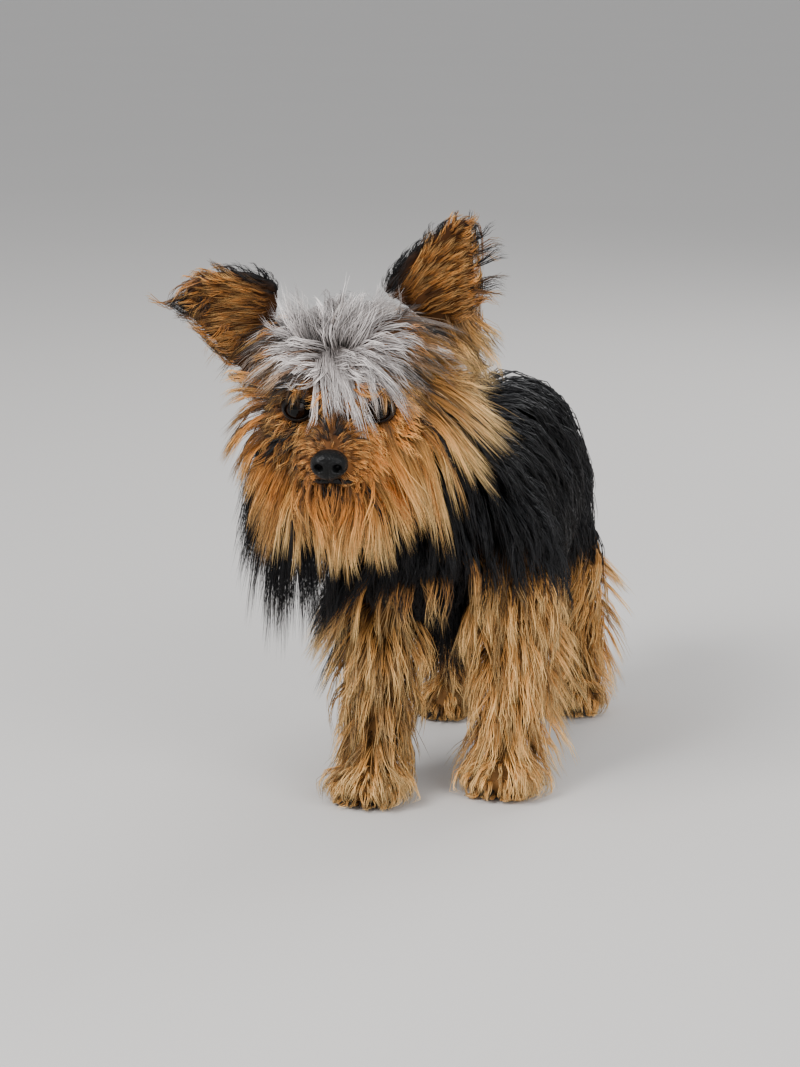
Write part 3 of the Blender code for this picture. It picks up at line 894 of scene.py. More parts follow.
class Surface:
    """A mesh as arrays and a search tree, for rooting and combing hair."""

    def __init__(self, obj, with_map=True):
        mesh = obj.data
        mesh.calc_loop_triangles()
        self.points = points_of(obj)
        self.corners = read(mesh.loop_triangles, "vertices", 3, np.int32)
        self.tree = BVHTree.FromPolygons(self.points.tolist(), self.corners.tolist())
        if not with_map:
            return
        self.normals = normals_of(obj)
        chart = read(mesh.uv_layers["OFBake"].data, "uv", 2)
        self.chart = chart[read(mesh.loop_triangles, "loops", 3, np.int32)]
        a, b, c = (self.points[self.corners[:, k]] for k in range(3))
        self.area = np.linalg.norm(np.cross(b - a, c - a), axis=1) / 2
        self.middle = (a + b + c) / 3
        self.facing = unit(np.cross(b - a, c - a))
        self.group = nearest_group(self.middle)
        bare = read(mesh.attributes["bare"].data, "value", 1)[:, 0]
        self.area[bare[self.corners].max(axis=1) > 0.5] = 0.0

    def found(self, points):
        """The nearest places to points, the ways the surface faces there, and its faces."""
        hits = [self.tree.find_nearest(point) for point in points.tolist()]
        places, facing = (np.array([tuple(hit[part]) for hit in hits]) for part in (0, 1))
        return places, facing, np.array([hit[2] for hit in hits])

    def nearest(self, points):
        return self.found(points)[:2]

    def scatter(self, weight, count, rng):
        """Root places, normals, map places and groups, spread evenly by weighted area."""
        chance = self.area * weight
        faces = rng.choice(len(chance), count, p=chance / chance.sum())
        first, second = rng.random((2, count))
        over = first + second > 1
        first[over], second[over] = 1 - first[over], 1 - second[over]
        shares = np.stack([1 - first - second, first, second], axis=1)[:, :, None]
        corners = self.corners[faces]
        roots = np.sum(self.points[corners] * shares, axis=1)
        normals = unit(np.sum(self.normals[corners] * shares, axis=1))
        chart = np.sum(self.chart[faces] * shares, axis=1)
        return roots, normals, chart, self.group[faces]

    def rooted(self, points):
        """The nearest places to points, as scatter gives them."""
        roots, _, faces = self.found(points)
        return roots, self.facing[faces], self.chart[faces].mean(axis=1), self.group[faces]


SURFACES = {}
OUTLINE_DETAIL = 0.0025


def coat_outline():
    """The CAD's coat outline as one closed surface, to comb the hair inside."""
    if "outline" not in SURFACES:
        copies = []
        for name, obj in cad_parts.items():
            if name.startswith(HARD_PARTS):
                continue
            copy = obj.copy()
            copy.data = obj.data.copy()
            copy.parent = None
            copy.hide_render = False
            copy.hide_viewport = False
            for key in list(copy.keys()):
                del copy[key]
            bpy.context.scene.collection.objects.link(copy)
            copy.hide_set(False)
            copies.append(copy)
        shell = joined(copies, "outline")
        finish_modifier(shell, "WELD", merge_threshold=0.00001)
        finish_modifier(shell, "REMESH", mode="VOXEL", voxel_size=OUTLINE_DETAIL)
        SURFACES["outline"] = Surface(shell, with_map=False)
        bpy.data.objects.remove(shell)
    return SURFACES["outline"]


def skin_surface():
    if "skin" not in SURFACES:
        SURFACES["skin"] = Surface(bpy.data.objects["skin"])
    return SURFACES["skin"]


LOCK_STEPS = 7
LOCK_FIRM = 0.45


def grow(roots, normals, flow, length, fill, rise, sag, hug, slack):
    """Centre lines of locks. Each leaves the skin, turns into the lie of the coat, and keeps to
    its own layer between the skin and the coat's outline."""
    skin, outline = skin_surface(), coat_outline()
    steps, firm = LOCK_STEPS, LOCK_FIRM
    lines = np.empty((len(roots), steps + 1, 3))
    lines[:, 0] = roots - normals * ROOT_DEPTH
    point = roots + normals * ROOT_GAP
    facing = normals
    off_skin = np.full((len(roots), 1), ROOT_GAP)
    step = (length / steps)[:, None]
    heading = unit(flow(point, facing) * 0.6 + normals * (0.4 + rise[:, None]))
    for number in range(1, steps + 1):
        part = (number - 0.5) / steps
        outline_at, outline_facing = outline.nearest(point)
        room = along(outline_at - point, outline_facing)
        layer = off_skin / np.maximum(off_skin + room, 0.0008)
        wanted = fill[:, None] * min(1.0, part / 0.35)
        lie = flow(point, facing)
        lie = unit(lie - facing * along(lie, facing) * 0.8)
        turn = lie + facing * rise[:, None] * (1 - part) ** 2
        turn = turn + facing * np.clip((wanted - layer) * 1.6 * hug, -0.7, 0.7)
        turn = turn + np.array((0, 0, -1.0)) * sag[:, None] * part
        heading = unit(heading * firm + unit(turn) * (1 - firm))
        point = point + heading * step
        skin_at, facing = skin.nearest(point)
        off_skin = along(point - skin_at, facing)
        least = np.minimum(0.0006 + 0.35 * part * step * steps * 0.1, 0.0030)
        short = np.maximum(least - off_skin, 0)
        point = point + facing * short
        off_skin = np.maximum(off_skin, least)
        outline_at, outline_facing = outline.nearest(point)
        over = np.maximum(along(point - outline_at, outline_facing) - slack - 0.004 * part, 0)
        point = point - outline_facing * over
        point[:, 2] = np.maximum(point[:, 2], FLOOR_GAP + 0.0006)
        lines[:, number] = point
    return lines


def resample(lines, shares):
    """Points of each line at its own shares of the way along. Shares are (locks, strands, rings)."""
    steps = lines.shape[1] - 1
    at = np.clip(shares, 0, 1.2) * steps
    low = np.clip(np.floor(at).astype(int), 0, steps - 1)
    part = (at - low)[..., None]
    rows = np.arange(len(lines))[:, None, None]
    return lines[rows, low] * (1 - part) + lines[rows, low + 1] * part


LOOSE_SHARE = 0.08


def strands_of(lines, normals, per_lock, rings, spread, clump, wave, thickness, uneven, rng):
    """Hair strands round each lock's centre line, as rings of points with their frames."""
    locks = len(lines)
    shares = np.linspace(0, 1, rings)[None, None, :]
    reach = 1 - uneven * rng.random((locks, per_lock, 1)) ** 1.5
    reach[:, 0] = 1.0
    middles = resample(lines, shares * reach)
    tangent = unit(np.gradient(middles, axis=2))
    side = np.empty_like(tangent)
    first = np.cross(tangent[:, :, 0], normals[:, None, :])
    fallback = np.cross(tangent[:, :, 0], rng.normal(size=(locks, 1, 3)))
    weak = np.linalg.norm(first, axis=-1, keepdims=True) < 0.15
    side[:, :, 0] = unit(np.where(weak, fallback, first))
    for ring in range(1, rings):
        moved = side[:, :, ring - 1]
        side[:, :, ring] = unit(moved - tangent[:, :, ring] * along(moved, tangent[:, :, ring]))
    lift = np.cross(side, tangent)
    angle = rng.random((locks, per_lock, 1)) * 2 * np.pi
    far = np.sqrt(rng.random((locks, per_lock, 1))) * spread[:, None, None]
    far[:, 0] *= 0.3
    loose = rng.random((locks, per_lock, 1)) < LOOSE_SHARE
    gather = np.where(loose, clump[:, None, None] * 0.1, clump[:, None, None])
    keep = 1 - gather * shares**0.8
    across = far * np.cos(angle) * keep
    ahead = far * np.sin(angle) * (1 - shares)
    above = spread[:, None, None] * 0.5 * (rng.random((locks, per_lock, 1)) - 0.25)
    above = above * np.sin(np.pi * np.clip(shares * 1.1, 0, 1)) * keep
    cycles = rng.uniform(0.5, 1.5, (locks, 1, 1))
    phase = rng.random((locks, 1, 1)) * 2 * np.pi + rng.normal(0, 0.5, (locks, per_lock, 1))
    swing = wave[:, None, None] * shares * np.sin(phase + shares * cycles * 2 * np.pi)
    stray = wave[:, None, None] * rng.normal(0, 0.55, (locks, per_lock, 1)) * shares**1.5
    stray = stray * np.where(loose, 2.2, 1.0)
    lifted = wave[:, None, None] * rng.normal(0, 0.45, (locks, per_lock, 1)) * shares**1.5
    lifted = lifted * np.where(loose, 2.0, 1.0)
    middles = (middles + side * (across + swing + stray)[..., None]
               + tangent * ahead[..., None] + lift * (above + lifted)[..., None])
    taper = np.clip(1 - shares**2.6, 0, 1) ** 0.75 * (0.8 + 0.2 * np.minimum(shares * 4, 1))
    girth = thickness * taper * rng.uniform(0.75, 1.15, (locks, per_lock, 1))
    middles[..., 2] = np.maximum(middles[..., 2], FLOOR_GAP)
    return middles, side, lift, girth


def hair_mesh(name, middles, side, lift, girth, chart, layers, rng):
    """One mesh of closed three-sided strands, each drawn to a point."""
    locks, per_lock, rings = middles.shape[:3]
    strands = locks * per_lock
    twist = rng.random((locks, per_lock, 1)) * 2 * np.pi
    sides = 3
    corners = []
    for corner in range(sides):
        angle = twist + corner * 2 * np.pi / sides
        out = side * np.cos(angle)[..., None] + lift * np.sin(angle)[..., None]
        corners.append(middles + out * girth[..., None] / 2)
    body = np.stack(corners, axis=3)[:, :, :-1]
    tips = middles[:, :, -1]
    per_strand = (rings - 1) * sides + 1
    points = np.concatenate([body.reshape(strands, -1, 3), tips.reshape(strands, 1, 3)], axis=1)
    points[..., 2] = np.maximum(points[..., 2], FLOOR_GAP * 0.6)
    faces = [(0, 2, 1)]
    for ring in range(rings - 2):
        for corner in range(sides):
            a = ring * sides + corner
            b = ring * sides + (corner + 1) % sides
            faces += [(a, b, b + sides), (a, b + sides, a + sides)]
    last = (rings - 2) * sides
    faces += [(last + corner, last + (corner + 1) % sides, per_strand - 1) for corner in range(sides)]
    faces = np.array(faces)
    index = (faces[None] + np.arange(strands)[:, None, None] * per_strand).reshape(-1, 3)
    mesh = bpy.data.meshes.new(name)
    mesh.vertices.add(strands * per_strand)
    mesh.vertices.foreach_set("co", np.ascontiguousarray(points, dtype=np.float32).ravel())
    mesh.loops.add(index.size)
    mesh.loops.foreach_set("vertex_index", index.astype(np.int32).ravel())
    mesh.polygons.add(len(index))
    mesh.polygons.foreach_set("loop_start", np.arange(0, index.size, 3, dtype=np.int32))
    mesh.polygons.foreach_set("use_smooth", np.ones(len(index), dtype=bool))
    mesh.update(calc_edges=True)

    down_strand = np.append(np.repeat(np.arange(rings - 1) / (rings - 1), sides), 1.0)
    round_strand = np.append(np.tile(np.arange(sides) / (sides - 1), rings - 1), 0.5)
    column = (np.arange(per_lock) + 0.1)[:, None] + 0.8 * round_strand[None]
    u = chart[:, 0, None, None] + (column / per_lock - 0.5)[None] * PATCH
    v = chart[:, 1, None, None] + (down_strand - 0.5)[None, None] * PATCH
    v = np.broadcast_to(v, u.shape).copy()
    v[..., 1] -= 0.04 * PATCH
    places = np.clip(np.stack([u, v], axis=-1).reshape(-1, 2), 0.0, 1.0)
    uv = mesh.uv_layers.new(name="OFBake")
    uv.data.foreach_set("uv", places[index.ravel()].astype(np.float32).ravel())
    write_attribute(mesh, "along", np.tile(down_strand, strands))
    for key, values in layers.items():
        write_attribute(mesh, key, np.repeat(np.broadcast_to(values, (locks, per_lock)).ravel(), per_strand))
    obj = bpy.data.objects.new(name, mesh)
    bpy.context.scene.collection.objects.link(obj)
    return obj


def eyes_off(head):
    """How far left of and above each eye points of the head's frame lie."""
    return [head[..., [0, 2]] - (side * EYE_APART / 2, EYE_UP) for side in (1, -1)]


def hides_eye(lines):
    """Which locks pass in front of an eye."""
    head = to_head(lines)
    over = [np.linalg.norm(off / EYE_CLEAR, axis=-1) < 1 for off in eyes_off(head)]
    return ((over[0] | over[1]) & (head[..., 1] < EYE_CLEAR_BACK)).any(axis=1)


def weave(name, finish, lines, rooted, strands, rings, spread, clump, wave, thickness, uneven, dark, rng,
          shade=None, tone=None):
    """Makes one piece of coat round its locks' centre lines, with its colours and its slot.

    Its masks are the markings at its roots, unless shade gives its tan, gold and silver."""
    roots, normals, chart, group = rooted
    count = len(lines)
    bushy = rng.uniform(0.7, 1.3, count)
    made = strands_of(lines, normals, strands, rings, spread * bushy, clump * rng.uniform(0.85, 1.1, count),
                      wave * bushy, thickness * bpy.context.scene.terrier_coat.thickness, uneven, rng)
    darker = np.where(rng.random(count) < dark, DARK_LOCK, 1.0)
    layers = {}
    masks = markings(roots, group) if shade is None else [np.full(count, share) for share in shade]
    for key, mask in zip(COAT_KEYS[1:], masks):
        drift = 1.6 * mask * (1 - mask) * rng.normal(0, 0.5, count)
        layers[key] = (smooth(mask + drift, 0.30, 0.70) * darker)[:, None]
    middle = tones(roots, group) if tone is None else np.full(count, tone)
    mottle = rng.normal(0, 0.12, (count, 1)) + rng.normal(0, 0.17, (count, strands))
    layers["tone"] = np.clip(middle[:, None] + mottle, 0, 1)
    obj = hair_mesh(name, *made, chart, layers, rng)
    print("coat", name, count, "locks", len(obj.data.polygons), "triangles")
    return dress(obj, finish)


# How uneven the strands of one lock are in length.
COMBED_UNEVEN = 0.35
DRAWN_UNEVEN = 0.26

# A drawn strand's rings of points and its lock's least distance off the skin, and how far thin locks
# stray from where they are put between their neighbours.
DRAWN_RINGS = 6
DRAWN_GAP = 0.0012
THIN_STRAY = 0.0016

DARK_LOCK = 0.45


def comb(name, where, flow, finish, seed, density, strands, length, rings=5, fill=(0.25, 1.0), rise=0.3,
         sag=0.2, spread=0.0022, clump=0.75, wave=0.0012, thickness=0.00055, hug=1.0, slack=0.002,
         dark=0.10):
    """Combs one piece of coat: scatters its roots, grows the locks and weaves them.

    where gives each skin face's share of hair, density is locks to the square centimetre, and
    length gives each root's hair length."""
    settings = bpy.context.scene.terrier_coat
    rng = np.random.default_rng(seed)
    skin = skin_surface()
    weight = where(skin.middle, skin.facing, np.array(GROUPS)[skin.group])
    share = settings.density * 1.0
    count = int(np.sum(skin.area * weight) * density * 1e4 * share)
    if count < 3:
        raise RuntimeError(f"{name} found no skin to grow on")
    rooted = skin.scatter(weight, count, rng)
    roots, normals = rooted[:2]
    size = length(roots, normals) * rng.uniform(0.78, 1.12, count) * settings.length
    lines = grow(roots, normals, flow, size, rng.uniform(*fill, count), rise * rng.uniform(0.5, 1.5, count),
                 sag * rng.uniform(0.6, 1.4, count), hug, slack)
    clear = ~hides_eye(lines)
    return weave(name, finish, lines[clear], [part[clear] for part in rooted], strands, rings, spread,
                 clump, wave, thickness, COMBED_UNEVEN, dark, rng)


def draw(name, finish, seed, place, locks, strands=16, lift=0.010, fall=(0, 0, -0.6), spread=0.0034,
         clump=0.70, wave=0.0018, thickness=0.00034, thin=0, dark=0.0, shade=None, tone=None):
    """Locks drawn one by one, each from near its root, out by lift and over to its tip.

    place carries roots and tips to the model's frame. Thin locks are added between neighbours."""
    rng = np.random.default_rng(seed)
    ends = np.array(locks, dtype=float)
    row = rng.integers(0, max(len(ends) - 1, 1), thin)
    share = rng.random((thin, 1, 1))
    between = ends[row] * (1 - share) + ends[np.minimum(row + 1, len(ends) - 1)] * share
    between[:, 1] = between[:, 0] + (between[:, 1] - between[:, 0]) * rng.uniform(0.80, 1.10, (thin, 1))
    ends = np.concatenate([ends, between + rng.normal(0, THIN_STRAY, between.shape)])
    ends = ends @ np.array(place.to_3x3()).T + np.array(place.translation)
    rooted = skin_surface().rooted(ends[:, 0])
    roots, normals = rooted[:2]
    tips = ends[:, 1]
    reach = np.linalg.norm(tips - roots, axis=1, keepdims=True)
    last = unit(unit(tips - roots) + np.array(fall))
    stations = (roots - normals * ROOT_DEPTH, roots + normals * lift + (tips - roots) * 0.15,
                tips - last * reach * 0.38, tips)
    share = np.linspace(0, 1, 8)[:, None]
    first, second, third, fourth = (station[:, None] for station in stations)
    lines = (first * (1 - share) ** 3 + 3 * second * share * (1 - share) ** 2
             + 3 * third * share**2 * (1 - share) + fourth * share**3)
    flat = lines[:, 1:].reshape(-1, 3)
    skin_at, facing = skin_surface().nearest(flat)
    flat = flat + facing * np.maximum(DRAWN_GAP - along(flat - skin_at, facing), 0)
    lines[:, 1:] = flat.reshape(len(lines), -1, 3)
    return weave(name, finish, lines, rooted, strands, DRAWN_RINGS, spread, clump, wave, thickness,
                 DRAWN_UNEVEN, dark, rng, shade, tone)


# Lie of the coat


def side_of(values, middle, soft):
    return np.tanh((values - middle) / soft)


def round_eyes(head):
    """A push away from the eyes, strong at their lids."""
    push = np.zeros_like(head)
    for off in eyes_off(head):
        far = np.linalg.norm(off, axis=1, keepdims=True)
        push[:, [0, 2]] += off / np.maximum(far, 1e-6) * (1 - smooth(far, 0.007, 0.018))
    return push


WHORL = (np.array((-0.0062, 0.0020, 0.0200)), np.array((-0.0030, 0.0080, 0.0240)))


def crown_flow(points, facing):
    """Out from the whorl all round, turning down with its weight, and aside over the right eye."""
    head = to_head(points)
    start, end = WHORL
    share = np.clip((head - start) @ (end - start) / np.sum((end - start) ** 2), 0, 1)[:, None]
    away = head - start - share * (end - start)
    far = np.linalg.norm(away, axis=1)
    brow = (1 - smooth(head[:, 1], 0.004, 0.020)) * smooth(-head[:, 0], 0.004, 0.014)
    local = unit(away) + 0.3 * round_eyes(head)
    local[:, 0] -= 1.3 * brow
    local[:, 2] -= 0.10 + 0.60 * smooth(far, 0.012, 0.042)
    return unit(turned_to_head(local))


def face_flow(points, facing):
    """Out from the nose over the face, turning down with its weight."""
    head = to_head(points)
    away = head - np.array((0.0, -0.0300, -0.0125))
    far = np.linalg.norm(away, axis=1)
    local = unit(away) + 0.4 * round_eyes(head)
    local[:, 0] += 0.35 * side_of(head[:, 0], 0.0, 0.006)
    local[:, 2] -= 0.15 + 1.1 * smooth(far, 0.012, 0.040)
    return unit(turned_to_head(local))


def beard_flow(points, facing):
    head = to_head(points)
    side = np.clip(head[:, 0] / 0.030, -1, 1)
    local = np.stack([0.42 * side, -0.10 + 0.0 * side, -1.0 + 0.0 * side], axis=1)
    return unit(turned_to_head(local))


def neck_flow(points, facing):
    stance = to_stance(points)
    side = side_of(stance[:, 0], -0.012, 0.020)
    back = smooth(stance[:, 1], -0.080, -0.030)
    left_top = smooth(stance[:, 0], -0.020, 0.004) * smooth(stance[:, 2], 0.150, 0.180)
    right = 1 - smooth(stance[:, 0], -0.050, -0.026)
    out = 0.45 * side + 0.7 * left_top - 0.25 * right
    return unit(np.stack([out, -0.25 + 0.75 * back, -1.0 + 0.25 * back + 0.3 * left_top], axis=1))


def chest_flow(points, facing):
    """Down, with the right side flung out as a ruff."""
    stance = to_stance(points)
    right = (1 - smooth(stance[:, 0], -0.040, -0.014)) * smooth(-stance[:, 1], 0.020, 0.050)
    side = side_of(stance[:, 0], -0.010, 0.040)
    out = 0.18 * side - 0.30 * right
    return unit(np.stack([out, -0.28 + 0.0 * out, -1.0 + 0.0 * out], axis=1))


def trunk_flow(points, facing):
    """From the parted back out, then down and back along the flanks."""
    stance = to_stance(points)
    side = side_of(stance[:, 0], -0.007, 0.006)
    top = smooth(facing[:, 2], 0.55, 0.95)
    out = side * (0.25 + 0.9 * top)
    back = 0.50 + 0.20 * top
    return unit(np.stack([out, back, -1.0 + 0.55 * top], axis=1))


def leg_flow(corner):
    left, back, _ = PAWS[corner]

    def flow(points, facing):
        stance = to_stance(points)
        low = 1 - smooth(stance[:, 2], 0.012, 0.034)
        out_left = np.clip((stance[:, 0] - left) / 0.020, -1.2, 1.2)
        out_back = np.clip((stance[:, 1] - back) / 0.024, -1.2, 1.2)
        feather = smooth(stance[:, 1] - back, 0.004, 0.026)
        local = np.stack([
            out_left * (0.16 + 0.5 * low) + 0.15 * feather * math.copysign(1.0, left),
            out_back * (0.10 + 0.5 * low) + 0.35 * feather * (1 - low),
            -1.0 + 0.25 * low,
        ], axis=1)
        return unit(local)

    return flow


def tail_flow(points, facing):
    stance = to_stance(points)
    back = 1 - smooth(stance[:, 1], 0.110, 0.138)
    return unit(np.stack([0.0 * back - 0.05, 0.15 + 0.9 * back, -1.0 + 0.2 * back], axis=1))


def ear_flow(name):
    place = np.array(ear_place(name).to_3x3())
    side = ear_side(name)

    def flow(points, facing):
        """Up the back of the ear, and out across its inside."""
        across, height, behind = on_ear(name, points)
        inside = ear_inside(behind)
        fan = 0.70 * side * inside * (1 - 0.6 * height) + 0.40 * np.clip(across, -1, 1) * (0.4 + height)
        return unit(np.stack([fan, -0.22 * inside, 1.0 - 0.30 * inside], axis=1) @ place.T)

    return flow


def evenly(length):
    return lambda roots, normals: np.full(len(roots), length)


def clear_of_eyes(head):
    """The longest hair that points of the head may have, short by the eyes."""
    far = np.minimum(*(np.linalg.norm(off, axis=1) for off in eyes_off(head)))
    return 0.0050 + 0.9 * np.maximum(far - 0.008, 0)


def face_length(roots, normals):
    head = to_head(roots)
    far = np.linalg.norm(head - np.array(NOSE_MIDDLE), axis=1)
    return np.minimum(np.clip(0.0045 + 0.75 * (far - 0.010), 0.0045, 0.040), clear_of_eyes(head) + 0.004)


def crown_length(roots, normals):
    head = to_head(roots)
    front = (1 - smooth(head[:, 1], 0.000, 0.016)) * (1 - smooth(np.abs(head[:, 0]), 0.014, 0.030))
    aside = smooth(np.abs(head[:, 0] + 0.003), 0.010, 0.028)
    return np.minimum(0.032 - 0.020 * front + 0.012 * aside, clear_of_eyes(head) + 0.006)


def ear_length(name):
    def length(roots, normals):
        _, height, behind = on_ear(name, roots)
        return 0.009 + 0.010 * ear_inside(behind) * (1 - np.clip(height, 0, 1))

    return length


def chest_length(roots, normals):
    """Long in the ruff to the right, and short over the elbows."""
    stance = to_stance(roots)
    left = smooth(stance[:, 0], -0.030, -0.008)
    return np.clip(stance[:, 2] - 0.090 - 0.016 * left, 0.010, 0.042)


def flank_length(roots, normals):
    stance = to_stance(roots)
    fore = smooth(-stance[:, 1], 0.000, 0.030)
    return np.clip(stance[:, 2] - 0.074 - 0.014 * fore, 0.016, 0.054)


# Where each piece of coat grows


def where_crown(points, facing, names):
    head = to_head(points)
    return (names == "skull") * np.maximum(brow_line(head), smooth(head[:, 1], 0.040, 0.050))


def where_cheek(side):
    def where(points, facing, names):
        head = to_head(points)
        mine = head[:, 0] * side > 0
        low_skull = (names == "skull") * (1 - brow_line(head)) * (1 - smooth(head[:, 1], 0.040, 0.050))
        return mine * (low_skull + (names == "cheek") * 1.0)

    return where


def where_muzzle(points, facing, names):
    return (names == "muzzle") * 1.0


def where_beard(points, facing, names):
    _, back, up = to_head(points).T
    jowl =np.isin(names, ("muzzle", "cheek")) * smooth(-up, 0.020, 0.026) * (1 - smooth(back, 0.016, 0.026))
    return (names == "chin") * 1.0 + 0.8 * jowl


def where_group(*groups):
    return lambda points, facing, names: np.isin(names, groups) * 1.0


def behind_chest(points):
    """0 on the chest and 1 behind it."""
    return smooth(to_stance(points)[:, 1], -0.060, -0.044)


def under_belly(facing):
    return smooth(-facing[:, 2], 0.55, 0.75)


def where_chest(points, facing, names):
    return (names == "trunk") * (1 - behind_chest(points))


def where_flank(side):
    def where(points, facing, names):
        mine = (to_stance(points)[:, 0] + 0.007) * side > 0
        return (names == "trunk") * mine * behind_chest(points) * (1 - under_belly(facing))

    return where


def where_belly(points, facing, names):
    return (names == "trunk") * behind_chest(points) * under_belly(facing)


# Face, claws and pads


def make_eye(name, side):
    """One eyeball with a low bulge in front."""
    turn = Matrix.Rotation(math.radians(10 * side), 4, "Z")
    aim = eye_place(side) @ turn @ Matrix.Rotation(math.pi / 2, 4, "X")
    eye = ball(Matrix.Diagonal((EYE_RADIUS, EYE_RADIUS, EYE_RADIUS, 1)), 48, 32, name)
    points = points_of(eye)
    angle = np.arccos(np.clip(points[:, 2] / EYE_RADIUS, -1, 1))
    bulge = 1 + 0.07 * (1 - smooth(angle, 0.0, 0.75))
    set_points(eye, points * bulge[:, None])
    write_attribute(eye.data, "off_axis", angle)
    eye.matrix_world = aim
    settle(eye)
    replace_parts(dress(shade_smooth(eye), "eye"), name.replace("globe", "eye"))
    return eye


def make_nose():
    """The nose leather: a rounded block with comma nostrils, a groove and a flat top."""
    nose = ball(Matrix(), 64, 44, "nose_leather")
    points = points_of(nose)
    square =np.maximum(np.abs(points) ** 3.0, 1e-12).sum(axis=1) ** (-1 / 3.0)
    points = points * (0.45 + 0.55 * square)[:, None]
    wide, deep, high = points.T
    narrow = 1 - 0.30 * smooth(-high, 0.1, 1.0) - 0.10 * smooth(high, 0.3, 1.0)
    points = np.stack([wide * narrow, deep - 0.10 * smooth(high, 0.2, 1.0) * (deep < 0), high], axis=1)
    points *= np.array(NOSE_HALF)
    wide, deep, high = points.T
    in_front = smooth(-deep, 0.0000, 0.0030)
    hole_wide, hole_high = NOSTRIL_HALF
    slit_wide, slit_high = SLIT_HALF
    for side in (-1, 1):
        hole = np.hypot((wide - side * NOSTRIL_APART / 2) / hole_wide, (high - 0.0002) / hole_high)
        slit_at = side * (NOSTRIL_APART / 2 + slit_wide)
        slit = np.hypot((wide - slit_at) / slit_wide, (high + 0.0015) / slit_high)
        rim = np.exp(-((hole - 1.25) / 0.35) ** 2)
        pit = np.maximum(1 - smooth(hole, 0.35, 1.05), 0.7 * (1 - smooth(slit, 0.3, 1.0)))
        deep = deep + in_front * (NOSTRIL_DEPTH * pit - NOSTRIL_RIM * rim)
    groove = np.exp(-(wide / GROOVE_HALF_WIDTH) ** 2) * smooth(-high, -0.0010, 0.0010)
    deep = deep + in_front * GROOVE_DEPTH * groove
    set_points(nose, np.stack([wide, deep, high], axis=1))
    nose.matrix_world = HEAD @ Matrix.Translation(NOSE_MIDDLE)
    settle(nose)
    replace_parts(dress(shade_smooth(nose), "nose"), "nose")
    return nose


CLAW_RADIUS = 0.00165
CLAW_RISE = 0.0012
CLAW_DROP = 0.0026


def make_claws(corner):
    """A paw's four claws: tapered horns that curve down to their points."""
    claws = []
    for number, spread in enumerate(CLAW_SPREAD, start=1):
        low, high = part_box(f"claw_{corner}_{number}")
        turn = math.radians(spread + PAWS[corner][2])
        ahead = Vector((math.sin(turn), -math.cos(turn), 0))
        middle = (low + high) / 2
        half = (high.y - low.y) / 2 / max(0.5, math.cos(turn))
        deselect()
        bpy.ops.mesh.primitive_cylinder_add(
            vertices=12, radius=CLAW_RADIUS, depth=2 * half, end_fill_type="TRIFAN")
        horn = bpy.context.object
        edit_all(horn, bpy.ops.mesh.subdivide, number_cuts=4)
        points = points_of(horn)
        share = points[:, 2] / (2 * half) + 0.5
        slim = 1 - 0.86 * share**1.4
        right = Vector((0, 0, 1)).cross(ahead)
        base = middle - ahead * half + Vector((0, 0, CLAW_RISE))
        run = share * 2 * half * 1.05
        drop = -CLAW_DROP * share**2
        placed = (np.array(base) + run[:, None] * np.array(ahead)
                  + np.outer(points[:, 0] * slim * 0.8, np.array(right))
                  + np.outer(points[:, 1] * slim + drop, (0, 0, 1)))
        placed[:, 2] = np.maximum(placed[:, 2], 0.0004)
        set_points(horn, placed)
        claws.append(horn)
    piece = joined(claws, "horn_" + corner)
    edit_all(piece, bpy.ops.mesh.normals_make_consistent, inside=False)
    bpy.ops.object.shade_smooth_by_angle(angle=math.radians(50))
    dress(piece, "claw")
    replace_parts(piece, *(f"claw_{corner}_{number}" for number in range(1, 5)))
    return piece


def make_pads(corner):
    """A paw's heel pad and four toe pads, flat where they stand."""
    size = 1.0 if is_front(corner) else 0.88
    place = paw_place(corner) @ Matrix.Diagonal((size, size, 1, 1))
    eggs = [egg((0.0, 0.0030, 0.0030), (0.0072, 0.0058, 0.0034))]
    for toe, spread in zip(TOES, CLAW_SPREAD):
        reach = -0.0125 if abs(spread) < 10 else -0.0085
        eggs.append(egg((toe * 0.92, reach, 0.0028), (0.0030, 0.0042, 0.0031)))
    piece = joined([ball(place @ part, 28, 18, "pad") for part in eggs], "pads_" + corner)
    points = points_of(piece)
    points[:, 2] = np.maximum(points[:, 2], 0.0)
    set_points(piece, points)
    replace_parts(dress(shade_smooth(piece), "pad"), "pad_" + corner)
    return piece


# Settings


def colour_choice(name, description, default):
    return bpy.props.FloatVectorProperty(
        name=name, description=description, subtype="COLOR", default=default)


def light_choice(name, description, default):
    return bpy.props.FloatProperty(
        name=name, description=description, default=default, min=0.0, unit="POWER")


